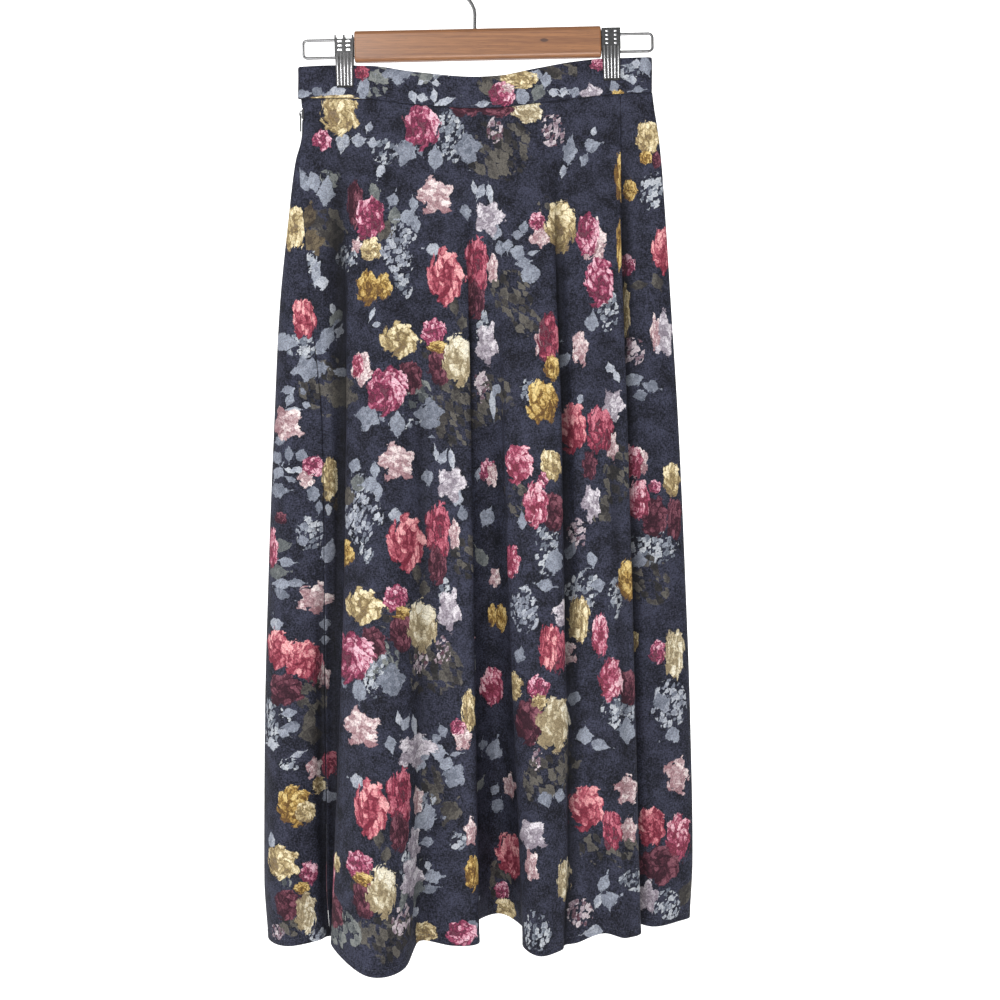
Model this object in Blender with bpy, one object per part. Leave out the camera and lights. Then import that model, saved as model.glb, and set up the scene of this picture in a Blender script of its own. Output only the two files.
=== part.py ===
# A-line skirt hanging from a wooden clip hanger.
# X runs along the waistband, -Y is the skirt's front, +Z is up.
# The origin is where a rail bears inside the top of the hook.
# All sizes below are millimetres.

import math
from collections import namedtuple

import bmesh
import bpy
from mathutils import Vector

MM = 0.001

# Cloth
PANEL_WALL = 1.5
BAND_WALL = 2.4
SEAM_GAP = 0.3
PINCH = 1.5
BAND_BOW_FRONT = 7.0
BAND_BOW_BACK = 5.0
BAND_END = 177.2

# Hanger
HOOK_WIRE = 3.6
HOOK_INSIDE = 44.4
BAR_CENTRE_X = 2.8
BAR_CENTRE_Z = -95.8
BAR_LENGTH = 246.0
BAR_HEIGHT = 31.0
BAR_DEPTH = 14.0
BAR_TILT = 1.21
LOOP_WIRE = 2.8
LOOP_HEIGHT = 20.4
LOOP_REACH = 53.0
LOOP_SET = 14.0
LOOP_LOW = 1.3
CLIP_WIDTH = 18.8
CLIP_FOOT_WIDTH = 16.8
CLIP_HEIGHT = 51.0
CLIP_SHEET = 1.3
CLIP_RIBS = 5
CLIP_RIB = 0.7
JAW_PAD = 1.1
FIT = 0.3

# Zip in the left side seam
ZIP_LENGTH = 180.0
ZIP_TAPE_REACH = 9.0
ZIP_TAPE = 0.8
SLIDER_DOWN = 15.0
SLIDER_LENGTH = 9.0
SLIDER_WIDTH = 3.4
SLIDER_DEPTH = 1.9
SLIDER_NOTCH = 2.7
PULL_LENGTH = 18.0
PULL_WIDTH = 4.6
PULL_THICK = 1.1
PULL_PIN = 0.9
PULL_SET = 1.3
CROWN_RISE = 2.0
CROWN_SHEET = 0.7

# The outline from the front: distance down from the waist seam, the left and right sides,
# and how far the left side seam has turned round to the front.
Outline = namedtuple("Outline", "down left right turned")
OUTLINE = (
    Outline(0, 173.3, 177.3, 0),
    Outline(15, 172.2, 179.2, 0),
    Outline(33, 172.4, 182.2, 0),
    Outline(62, 179.6, 186.0, 4),
    Outline(122, 187.5, 191.0, 17),
    Outline(212, 197.2, 197.5, 35),
    Outline(332, 204.0, 206.0, 54),
    Outline(482, 210.6, 214.0, 63),
    Outline(632, 215.0, 220.5, 69),
    Outline(776, 216.2, 224.0, 72),
    Outline(836, 212.5, 221.5, 72),
)

# The waistband's top edge and lower seam, which sag between the clips.
BandEdge = namedtuple("BandEdge", "x top seam")
BAND_EDGE = (
    BandEdge(-178, -118.5, -149.8),
    BandEdge(-140, -116.6, -149.6),
    BandEdge(-105, -117.2, -150.4),
    BandEdge(-60, -123.8, -156.2),
    BandEdge(0, -129.4, -160.4),
    BandEdge(22, -128.2, -159.8),
    BandEdge(60, -120.5, -155.0),
    BandEdge(100, -112.8, -149.8),
    BandEdge(127, -110.0, -146.4),
    BandEdge(178, -108.6, -143.4),
)

# Fold lines that run down the cloth. The x of each at waist, mid height and hem, how far it
# stands out from the waist's plane at mid height and hem (forward is positive), and how much
# lower than the level hem it ends.
MID = 0.4
Fold = namedtuple("Fold", "name waist mid hem mid_out hem_out drop")
FRONT_FOLDS = (
    Fold("under_a", -149, -130, -124, 13, 8, 3),
    Fold("edge_a", -123, -124, -142, 34, 56, -9),
    Fold("crest_a", -103, -95, -101, 52, 112, 11),
    Fold("shoulder_a", -81, -70, -66, 48, 92, 11),
    Fold("dip_a", -55, -49, -55, 38, 50, -7),
    Fold("rise_b", -28, -21, -21, 40, 58, -2),
    Fold("edge_b", -11, -3, 7, 38, 56, -3),
    Fold("under_b", -2, -6, -6, 24, 6, -8),
    Fold("floor_b", 8, 13, 26, 14, -46, -7),
    Fold("under_c", 18, 28, 55, 24, 10, 0),
    Fold("edge_c", 28, 30, 46, 38, 47, 2),
    Fold("crest_c", 51, 54, 63, 46, 76, 6),
    Fold("edge_d", 77, 84, 86, 43, 58, 4),
    Fold("under_d", 84, 87, 100, 27, 47, 1),
    Fold("ridge_d", 105, 109, 127, 33, 30, -4),
    Fold("rise_e", 127, 136, 149, 27, 36, 2),
    Fold("edge_e", 139, 152, 166, 22, 24, -1),
)
# The right seam lies under the fold beside it, and the back panel goes on from there.
RIGHT_SEAM = Fold("right_seam", 145, 145, 149, 8, -8, -2)
RIGHT_FOLD = Fold("out_e", 156, 170, 181, -1, -15, 5)
BACK_FOLDS = (
    Fold("crest_p", 142, 158, 164, -56, -130, 6),
    Fold("dip_p", 98, 104, 106, -38, -88, 0),
    Fold("crest_q", 46, 52, 54, -60, -142, 6),
    Fold("dip_q", -6, -10, -8, -46, -104, 0),
    Fold("crest_r", -62, -72, -74, -60, -144, 6),
    Fold("dip_r", -112, -122, -124, -40, -92, 0),
    Fold("crest_s", -147, -164, -172, -48, -112, 5),
)
BACK_SEAM = "dip_q"

# Lines at the two sides, placed from the outline: inset from it at waist, mid and hem, the
# share of the seam's turn that they take, and how far they stand out.
Side = namedtuple("Side", "name waist mid hem share waist_out mid_out hem_out drop")
LEFT_BACK = (
    Side("left_back", 1.6, 2, 4, 0.0, -2.8, -26, -50, 6),
    Side("left_wrap", 0.4, 0, 0, 0.08, -1.4, -4, -4, 5),
)
LEFT_SEAM = Side("left_seam", 0.0, 0, 0, 1.0, 0.0, 11, 6, 0)
LEFT_FRONT = (Side("left_front", 3.6, 8, 6, 1.0, 2.8, 12, 7, 1),)
LEFT_TURN = (Side("left_turn", 0.0, 0, 0, 0.42, -0.7, 12, 26, 4),)
RIGHT_FRONT = (Side("right_front", 3.6, 13, 16, 0.0, 2.8, -5, -27, 3),)
RIGHT_EDGE = (Side("right_edge", 0.0, 0, 0, 0.0, 0.0, -15, -46, 3),)
RIGHT_BACK = (Side("right_back", 3.6, 10, 24, 0.0, -2.8, -38, -104, 7),)

ROUNDING = (0.6, 0.4)
HEM_Z = -982.0
HEM_SLOPE = 0.026
ROW_STEPS = (0, 4, 10, 15, 20, 23, 33, 47, 66, 95, 130, 172, 220, 272, 328, 388, 450, 514, 580,
             646, 712, 776, 836)
SPAN = 3


def smooth(xs, ys, x):
    # Monotone cubic through the points, so no value overshoots between rows of a table.
    n = len(xs)
    step = [xs[i + 1] - xs[i] for i in range(n - 1)]
    rise = [(ys[i + 1] - ys[i]) / step[i] for i in range(n - 1)]
    slope = [rise[0]] + [0.0] * (n - 2) + [rise[-1]]
    for i in range(1, n - 1):
        if rise[i - 1] * rise[i] > 0:
            a = 2 * step[i] + step[i - 1]
            b = step[i] + 2 * step[i - 1]
            slope[i] = (a + b) / (a / rise[i - 1] + b / rise[i])
    k = 0
    while k < n - 2 and x > xs[k + 1]:
        k += 1
    t = (x - xs[k]) / step[k]
    low = (1 + 2 * t) * (1 - t) ** 2 * ys[k] + t * (1 - t) ** 2 * step[k] * slope[k]
    high = t * t * (3 - 2 * t) * ys[k + 1] + t * t * (t - 1) * step[k] * slope[k + 1]
    return low + high


def grow(waist, mid, hem, t):
    # Starts level at the waist, then opens steadily to the hem.
    first = (mid - waist) / MID
    last = (hem - mid) / (1 - MID)
    across = 0.5 * (first + last)
    if t < MID:
        u, size, a, b, sa, sb = t / MID, MID, waist, mid, 0.0, across
    else:
        u, size, a, b, sa, sb = (t - MID) / (1 - MID), 1 - MID, mid, hem, across, last
    low = (1 + 2 * u) * (1 - u) ** 2 * a + u * (1 - u) ** 2 * size * sa
    high = u * u * (3 - 2 * u) * b + u * u * (u - 1) * size * sb
    return low + high


def band_out(x, front):
    # How far the flattened band stands from its middle plane: least inside the clips.
    bow = BAND_BOW_FRONT if front else BAND_BOW_BACK
    reach = 118.0
    middle = math.cos(0.5 * math.pi * x / reach) ** 2 if abs(x) < reach else 0.0
    end = min(max((abs(x) - 146.0) / 20.0, 0.0), 1.0) * 1.3
    out = PINCH + bow * middle + end
    return out if front else -out


def band_edge(x):
    return smooth([e.x for e in BAND_EDGE], [e.top for e in BAND_EDGE], x)


def waist_seam(x):
    return smooth([e.x for e in BAND_EDGE], [e.seam for e in BAND_EDGE], x)


def outline(t):
    down = t * OUTLINE[-1].down
    xs = [o.down for o in OUTLINE]
    left = smooth(xs, [o.left for o in OUTLINE], down)
    right = smooth(xs, [o.right for o in OUTLINE], down)
    turned = smooth(xs, [o.turned for o in OUTLINE], down)
    return left, right, turned


def place(x, waist_x, out, drop, t):
    top = waist_seam(waist_x) - SEAM_GAP
    hem = HEM_Z + HEM_SLOPE * x - drop
    return Vector((x, -out, top + (hem - top) * t))


def fold_point(fold, t, front):
    x = smooth((0, MID, 1), (fold.waist, fold.mid, fold.hem), t)
    out = grow(band_out(fold.waist, front), fold.mid_out, fold.hem_out, t)
    return place(x, fold.waist, out, fold.drop * t, t)


def side_point(side, t, sign):
    left, right, turned = outline(t)
    inset = smooth((0, MID, 1), (side.waist, side.mid, side.hem), t)
    inset += side.share * turned
    edge = left if sign < 0 else right
    x = sign * (edge - inset)
    out = grow(side.waist_out, side.mid_out, side.hem_out, t)
    return place(x, sign * 172.0, out, side.drop * t, t)


def section(t):
    # The closed line of the cloth's middle at one height, from the left seam round the front,
    # and where on it each seam lies.
    points = [side_point(LEFT_SEAM, t, -1)]
    points += [side_point(s, t, -1) for s in LEFT_FRONT]
    points += [fold_point(f, t, True) for f in FRONT_FOLDS]
    seams = {"left": 0, "right": len(points)}
    points += [fold_point(f, t, True) for f in (RIGHT_SEAM, RIGHT_FOLD)]
    points += [side_point(s, t, 1) for s in RIGHT_FRONT + RIGHT_EDGE + RIGHT_BACK]
    seams["centre"] = len(points) + [f.name for f in BACK_FOLDS].index(BACK_SEAM)
    points += [fold_point(f, t, False) for f in BACK_FOLDS]
    points += [side_point(s, t, -1) for s in LEFT_BACK + LEFT_TURN]
    return points, seams


def spline(points, i, u):
    # A smooth closed line from point i to point i + 1. It is mostly a B-spline, which rounds
    # the folds, drawn part of the way out to the points by a Catmull-Rom curve.
    n = len(points)
    a, b, c, d = (points[(i + k - 1) % n] for k in range(4))
    through = (b * 2 + (c - a) * u + (a * 2 - b * 5 + c * 4 - d) * u ** 2
               + (b * 3 - a - c * 3 + d) * u ** 3) * 0.5
    near = (a * (1 - u) ** 3 + b * (3 * u ** 3 - 6 * u ** 2 + 4)
            + c * (3 * u + 3 * u ** 2 - 3 * u ** 3 + 1) + d * u ** 3) / 6
    return through * ROUNDING[0] + near * ROUNDING[1]


def ring(points, first, last, per_span):
    return [
        spline(points, i, k / per_span) for i in range(first, last) for k in range(per_span)
    ] + [spline(points, last - 1, 1.0)]


def flat_normals(line, before, after):
    # The outward normal in the level plane; before and after are the neighbours past the ends.
    whole = [before] + line + [after]
    normals = []
    for k in range(1, len(whole) - 1):
        along = whole[k + 1] - whole[k - 1]
        normals.append(Vector((along.y, -along.x, 0.0)).normalized())
    return normals


def at_distance(line, distance):
    # The point of a line of points at a distance along it.
    for a, b in zip(line, line[1:]):
        size = (b - a).length
        if distance <= size and size > 0:
            return a + (b - a) * (distance / size)
        distance -= size
    return line[-1].copy()


def drawn_back(line, gap):
    # Moves the start of a line in by the gap, easing the points near it along the line.
    ease = max(4.0 * gap, 2.0)
    moved, reach = [], 0.0
    for k, p in enumerate(line):
        reach += (p - line[k - 1]).length if k else 0.0
        if reach < ease:
            moved.append(at_distance(line, gap + reach * (ease - gap) / ease))
        else:
            moved.append(p.copy())
    return moved


def add_object(name, verts, faces, material, sharp=True):
    mesh = bpy.data.meshes.new(name)
    mesh.from_pydata([[c * MM for c in v] for v in verts], [], faces)
    work = bmesh.new()
    work.from_mesh(mesh)
    bmesh.ops.recalc_face_normals(work, faces=work.faces)
    work.to_mesh(mesh)
    work.free()
    mesh.polygons.foreach_set("use_smooth", [not sharp] * len(mesh.polygons))
    mesh.materials.append(material)
    obj = bpy.data.objects.new(name, mesh)
    bpy.context.scene.collection.objects.link(obj)
    return obj


def wall_mesh(outer, inner):
    # A closed wall between two grids of points with the same rows and columns.
    rows, cols = len(outer), len(outer[0])
    verts = [p for row in outer for p in row] + [p for row in inner for p in row]
    shift = rows * cols
    faces = []
    for r in range(rows - 1):
        for c in range(cols - 1):
            a, b = r * cols + c, r * cols + c + 1
            d, e = a + cols, b + cols
            faces.append((a, b, e, d))
            faces.append((a + shift, d + shift, e + shift, b + shift))
    for c in range(cols - 1):
        a, b = c, c + 1
        faces.append((a, a + shift, b + shift, b))
        a, b = (rows - 1) * cols + c, (rows - 1) * cols + c + 1
        faces.append((a, b, b + shift, a + shift))
    for r in range(rows - 1):
        a, b = r * cols, (r + 1) * cols
        faces.append((a, b, b + shift, a + shift))
        a, b = r * cols + cols - 1, (r + 1) * cols + cols - 1
        faces.append((a, a + shift, b + shift, b))
    return verts, faces


def wall(name, lines, thick, material):
    # lines is a list of rows, each a line of (point, normal).
    outer = [[p + n * (0.5 * thick) for p, n in line] for line in lines]
    inner = [[p - n * (0.5 * thick) for p, n in line] for line in lines]
    verts, faces = wall_mesh(outer, inner)
    return add_object(name, verts, faces, material, sharp=False)


def seam_gap(seam, down):
    # Half the space at a seam. It opens for the slider in the left one.
    if seam == "left" and abs(down - SLIDER_DOWN) <= 0.5 * SLIDER_LENGTH + 1.0:
        return SLIDER_NOTCH
    return 0.5 * SEAM_GAP


def panel(name, start, stop, material):
    # The cloth from one seam to the next.
    down_all = ROW_STEPS[-1]
    lines = []
    lift = None
    for down in ROW_STEPS:
        t = down / down_all
        points, seams = section(t)
        first, last = seams[start], seams[stop] or len(points)
        line = ring(points, first, last, SPAN)
        if lift is None:
            lift = [waist_seam(p.x) - 1.5 * SEAM_GAP - p.z for p in line]
        for p, rise in zip(line, lift):
            p.z += rise * (1 - t) ** 6
        start_gap, stop_gap = seam_gap(start, down), seam_gap(stop, down)
        line = drawn_back(line, start_gap)
        line = drawn_back(line[::-1], stop_gap)[::-1]
        normals = flat_normals(line, line[0] * 2 - line[1], line[-1] * 2 - line[-2])
        normals[0] = seam_normal(points, first, start_gap)
        normals[-1] = seam_normal(points, last, -stop_gap)
        lines.append(list(zip(line, normals)))
    return wall(name, lines, PANEL_WALL, material)


def seam_point(points, seam, distance):
    # The closed line's point at a distance along it from a seam; positive runs on round it.
    step = 1 if distance >= 0 else -1
    path = []
    for i in range(5):
        start = seam + i if step > 0 else seam - 1 - i
        for k in range(10):
            path.append(spline(points, start % len(points), k / 10 if step > 0 else 1 - k / 10))
    return at_distance(path, abs(distance))


def seam_normal(points, seam, distance):
    along = seam_point(points, seam, distance + 1) - seam_point(points, seam, distance - 1)
    return Vector((along.y, -along.x, 0.0)).normalized()


def box(name, low, high, material, turn=None):
    x0, y0, z0 = low
    x1, y1, z1 = high
    verts = [
        Vector((x, y, z)) for z in (z0, z1) for y in (y0, y1) for x in (x0, x1)
    ]
    if turn:
        verts = [turn(v) for v in verts]
    faces = [(0, 2, 3, 1), (4, 5, 7, 6), (0, 1, 5, 4), (2, 6, 7, 3), (0, 4, 6, 2), (1, 3, 7, 5)]
    return add_object(name, verts, faces, material)


def tube(name, path, radius, sides, material, round_ends=()):
    # A round wire along a path of points; an end named in round_ends gets a small dome.
    tangents = []
    for k, p in enumerate(path):
        a, b = path[max(k - 1, 0)], path[min(k + 1, len(path) - 1)]
        tangents.append((b - a).normalized())
    across = Vector((0, 1, 0))
    rings = []
    for p, t in zip(path, tangents):
        side = (across - t * across.dot(t)).normalized()
        up = t.cross(side)
        rings.append((p, side, up, radius))
    if "last" in round_ends:
        p, t = path[-1], tangents[-1]
        _, side, up, _ = rings[-1]
        for turn in (30, 60, 80):
            a = math.radians(turn)
            rings.append((p + t * radius * math.sin(a), side, up, radius * math.cos(a)))
    verts = []
    for p, side, up, r in rings:
        for k in range(sides):
            a = 2 * math.pi * k / sides
            verts.append(p + side * r * math.cos(a) + up * r * math.sin(a))
    faces = []
    for j in range(len(rings) - 1):
        for k in range(sides):
            a, b = j * sides + k, j * sides + (k + 1) % sides
            faces.append((a, b, b + sides, a + sides))
    faces.append(tuple(range(sides))[::-1])
    faces.append(tuple(range((len(rings) - 1) * sides, len(rings) * sides)))
    return add_object(name, verts, faces, material, sharp=False)


def arc(centre, radius, start, stop, steps, plane="xz"):
    points = []
    for k in range(steps + 1):
        a = math.radians(start + (stop - start) * k / steps)
        u, v = radius * math.cos(a), radius * math.sin(a)
        points.append(centre + (Vector((u, 0, v)) if plane == "xz" else Vector((0, u, v))))
    return points


def hang_tilt(p):
    a = math.radians(BAR_TILT)
    x, z = p[0], p[2] - BAR_CENTRE_Z
    return Vector((x * math.cos(a) - z * math.sin(a), p[1],
                   x * math.sin(a) + z * math.cos(a) + BAR_CENTRE_Z))


def material(name, colour, rough, metallic=0.0):
    made = bpy.data.materials.new(name)
    made.use_nodes = True
    shader = made.node_tree.nodes["Principled BSDF"]
    shader.inputs["Base Color"].default_value = (*colour, 1.0)
    shader.inputs["Roughness"].default_value = rough
    shader.inputs["Metallic"].default_value = metallic
    made.diffuse_color = (*colour, 1.0)
    return made


def cut(target, cutters):
    for cutter in cutters:
        cutter.hide_render = True
        cutter.display_type = "WIRE"
        change = target.modifiers.new("cut_" + cutter.name, "BOOLEAN")
        change.operation = "DIFFERENCE"
        change.solver = "EXACT"
        change.object = cutter


def make_band(cloth):
    # One strip folded flat round the waist, open at the left over the zip.
    front = [Vector((x, -band_out(x, True), 0)) for x in range(-168, 169, 8)]
    right = [Vector((BAND_END - 3.2, -2.5, 0)), Vector((BAND_END - 1.2, 0, 0)),
             Vector((BAND_END - 3.2, 2.5, 0))]
    back = [Vector((x, -band_out(x, False), 0)) for x in range(168, -169, -8)]
    start = [Vector((-BAND_END + 1.2, -0.5 * SEAM_GAP, 0)), Vector((-BAND_END + 3.2, -2.4, 0))]
    finish = [Vector((-BAND_END + 3.2, 2.4, 0)), Vector((-BAND_END + 1.2, 0.5 * SEAM_GAP, 0))]
    line = start + front + right + back + finish
    normals = flat_normals(line, line[0] * 2 - line[1], line[-1] * 2 - line[-2])
    normals[0] = Vector((-1, 0, 0))
    normals[-1] = Vector((-1, 0, 0))
    rows = []
    for share in (0.0, 0.5, 1.0):
        row = []
        for p, n in zip(line, normals):
            lift = 1.6 * math.cos(0.5 * math.pi * min(abs(p.x) / 110, 1)) if p.y > 0 else 0.0
            z = (band_edge(p.x) + lift) * (1 - share) + waist_seam(p.x) * share
            row.append((Vector((p.x, p.y, z)), n))
        rows.append(row)
    return wall("waistband", rows, BAND_WALL, cloth)


def make_zip(tape_cloth, metal):
    down_all = ROW_STEPS[-1]
    reach = (-ZIP_TAPE_REACH, -6, -3.5, -1.6, 0, 1.6, 3.5, 6, ZIP_TAPE_REACH)
    rows = []
    inward = 0.5 * PANEL_WALL + 1.5 * FIT + 0.5 * ZIP_TAPE
    for down in [d for d in ROW_STEPS if 0 < d < ZIP_LENGTH]:
        points = section(down / down_all)[0]
        row = []
        for d in reach:
            p, n = seam_point(points, 0, d), seam_normal(points, 0, d)
            row.append((p - n * inward, n))
        rows.append(row)
    wall("zip_tape", rows, ZIP_TAPE, tape_cloth)

    t = SLIDER_DOWN / down_all
    seat = side_point(LEFT_SEAM, t, -1)
    outside = seat.x - 0.5 * PANEL_WALL - 0.2
    low = Vector((outside, -0.5 * SLIDER_WIDTH, seat.z - 0.5 * SLIDER_LENGTH))
    high = Vector((outside + SLIDER_DEPTH, 0.5 * SLIDER_WIDTH, seat.z + 0.5 * SLIDER_LENGTH))
    body = box("zip_slider", low, high, metal)
    # The crown is an arch along the slider that the pull's pin hangs in.
    half = 0.55
    profile = []
    for k in range(9):
        a = math.pi * k / 8
        profile.append((math.cos(a), math.sin(a)))
    verts, faces = [], []
    for y in (-half, half):
        for rise in (CROWN_RISE, CROWN_RISE + CROWN_SHEET):
            for c, s in profile:
                verts.append(Vector((outside - s * rise, y, seat.z + c * (rise + 0.6))))
    n = len(profile)
    for v in verts:
        # The feet reach into the body, so that the two are one solid.
        if abs(v.x - outside) < 1e-6:
            v.x += 0.6

    def at(y, r, k):
        return (y * 2 + r) * n + k

    for k in range(n - 1):
        faces.append((at(0, 0, k), at(0, 0, k + 1), at(0, 1, k + 1), at(0, 1, k)))
        faces.append((at(1, 0, k), at(1, 1, k), at(1, 1, k + 1), at(1, 0, k + 1)))
        faces.append((at(0, 1, k), at(0, 1, k + 1), at(1, 1, k + 1), at(1, 1, k)))
        faces.append((at(0, 0, k), at(1, 0, k), at(1, 0, k + 1), at(0, 0, k + 1)))
    faces.append((at(0, 0, 0), at(0, 1, 0), at(1, 1, 0), at(1, 0, 0)))
    faces.append((at(0, 0, n - 1), at(1, 0, n - 1), at(1, 1, n - 1), at(0, 1, n - 1)))
    crown = add_object("cut_crown", verts, faces, metal)
    crown.hide_render = True
    crown.display_type = "WIRE"
    join = body.modifiers.new("crown", "BOOLEAN")
    join.operation = "UNION"
    join.solver = "EXACT"
    join.object = crown

    make_pull(Vector((outside - PULL_SET, 0, seat.z)), metal)


def make_pull(pin, metal):
    # A narrow tab with a slot at its top; the bar across the slot's top is the hinge pin.
    half = 0.5 * PULL_WIDTH
    slot = 0.55 + 0.35
    thick = 0.5 * PULL_THICK
    rise = 0.5 * PULL_PIN
    slot_end = -5.4
    tip = -PULL_LENGTH + rise
    outer = [(-half, rise), (half, rise), (half, slot_end), (half * 0.8, tip + 2.2),
             (half * 0.42, tip), (-half * 0.42, tip), (-half * 0.8, tip + 2.2),
             (-half, slot_end)]
    inner = [(-slot, -rise), (slot, -rise), (slot, slot_end + 0.9), (-slot, slot_end + 0.9)]
    work = bmesh.new()
    rims = []
    for x in (-thick, thick):
        rims.append([work.verts.new((x, y, z)) for y, z in outer])
        rims.append([work.verts.new((x, y, z)) for y, z in inner])
    o0, i0, o1, i1 = rims
    for o, i in ((o0, i0), (o1, i1)):
        work.faces.new((o[0], o[1], i[1], i[0]))
        work.faces.new((o[1], o[2], i[2], i[1]))
        work.faces.new((o[2], o[7], i[3], i[2]))
        work.faces.new((o[7], o[0], i[0], i[3]))
        work.faces.new((o[2], o[3], o[6], o[7]))
        work.faces.new((o[3], o[4], o[5], o[6]))
    for k in range(8):
        work.faces.new((o0[k], o0[(k + 1) % 8], o1[(k + 1) % 8], o1[k]))
    for k in range(4):
        work.faces.new((i0[k], i0[(k + 1) % 4], i1[(k + 1) % 4], i1[k]))
    bmesh.ops.recalc_face_normals(work, faces=work.faces)
    for v in work.verts:
        v.co = (v.co + pin) * MM
    mesh = bpy.data.meshes.new("zip_pull")
    work.to_mesh(mesh)
    work.free()
    mesh.materials.append(metal)
    obj = bpy.data.objects.new("zip_pull", mesh)
    bpy.context.scene.collection.objects.link(obj)
    return obj


def make_bar(wood, cutters):
    # A rounded plank along X with eased ends.
    half_h, half_d = 0.5 * BAR_HEIGHT, 0.5 * BAR_DEPTH
    corner = 4.0
    outline_yz = []
    for cy, cz, start in ((half_d, half_h, 0), (-half_d, half_h, 90),
                          (-half_d, -half_h, 180), (half_d, -half_h, 270)):
        for k in range(5):
            a = math.radians(start + 22.5 * k)
            y = cy - math.copysign(corner, cy) + corner * math.cos(a)
            z = cz - math.copysign(corner, cz) + corner * math.sin(a)
            outline_yz.append((y, z))
    stations = ((0.0, 0.9), (0.4, 0.96), (1.4, 1.0))
    half = 0.5 * BAR_LENGTH
    rings = [(-half + d, s) for d, s in stations] + [(half - d, s) for d, s in stations[::-1]]
    verts, n = [], len(outline_yz)
    for x, s in rings:
        ease = (1 - s) * 10
        for y, z in outline_yz:
            shrink_y = y - math.copysign(ease, y)
            shrink_z = z - math.copysign(ease, z)
            verts.append(hang_tilt((BAR_CENTRE_X + x, shrink_y, BAR_CENTRE_Z + shrink_z)))
    faces = [tuple(range(n))[::-1], tuple(range((len(rings) - 1) * n, len(rings) * n))]
    for j in range(len(rings) - 1):
        for k in range(n):
            a, b = j * n + k, j * n + (k + 1) % n
            faces.append((a, b, b + n, a + n))
    bar = add_object("hanger_bar", verts, faces, wood, sharp=False)
    cut(bar, cutters)
    return bar


def bore(name, start, stop, radius, metal):
    return tube(name, [start, start.lerp(stop, 0.5), stop], radius, 12, metal)


def make_loops(metal):
    # Wire loops that stand out of the bar's ends; the clips slide on them.
    cutters = []
    for name, sign in (("loop_left", -1), ("loop_right", 1)):
        end = BAR_CENTRE_X + sign * 0.5 * BAR_LENGTH
        z = BAR_CENTRE_Z - LOOP_LOW
        half = 0.5 * (LOOP_HEIGHT - LOOP_WIRE)
        inside = end - sign * LOOP_SET
        far = end + sign * (LOOP_REACH - 0.5 * LOOP_WIRE)
        bend = 4.0
        path = [Vector((inside, 0, z + half)), Vector((end, 0, z + half)),
                Vector((end + sign * 25, 0, z + half))]
        top = Vector((far - sign * bend, 0, z + half - bend))
        low = Vector((far - sign * bend, 0, z - half + bend))
        if sign > 0:
            path += arc(top, bend, 90, 0, 4) + arc(low, bend, 0, -90, 4)
        else:
            path += arc(top, bend, 90, 180, 4) + arc(low, bend, 180, 270, 4)
        path += [Vector((end + sign * 25, 0, z - half)), Vector((end, 0, z - half)),
                 Vector((inside, 0, z - half))]
        tube(name, [hang_tilt(p) for p in path], 0.5 * LOOP_WIRE, 10, metal)
        for leg in (-half, half):
            a = hang_tilt((inside - sign * FIT, 0, z + leg))
            b = hang_tilt((end + sign * 4, 0, z + leg))
            cutters.append(bore(f"cut_{name}_{leg > 0:d}", a, b, 0.5 * LOOP_WIRE + 0.2, metal))
    return cutters


def make_hook(metal):
    radius = 0.5 * (HOOK_INSIDE + HOOK_WIRE)
    centre = Vector((0, 0, -0.5 * HOOK_INSIDE))
    stem_low = BAR_CENTRE_Z + 0.5 * BAR_HEIGHT - 16
    stem_top = BAR_CENTRE_Z + 0.5 * BAR_HEIGHT + 15
    join = centre + Vector((radius * math.cos(math.radians(222)), 0,
                            radius * math.sin(math.radians(222))))
    path = [Vector((0, 0, stem_low)), Vector((0, 0, stem_low + 12)), Vector((0, 0, stem_top))]
    swing = Vector((0, 0, stem_top + 11))
    lead = join + Vector((math.cos(math.radians(312)), 0, math.sin(math.radians(312)))) * 9
    for k in range(1, 7):
        u = k / 7
        path.append(path[2] * (1 - u) ** 3 + swing * 3 * u * (1 - u) ** 2
                    + lead * 3 * u * u * (1 - u) + join * u ** 3)
    path += arc(centre, radius, 222, -18, 30)
    tube("hanger_hook", path, 0.5 * HOOK_WIRE, 12, metal, round_ends=("last",))
    return [bore("cut_stem", Vector((0, 0, stem_low - FIT)), Vector((0, 0, stem_top - 8)),
                 0.5 * HOOK_WIRE + 0.2, metal)]


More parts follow.
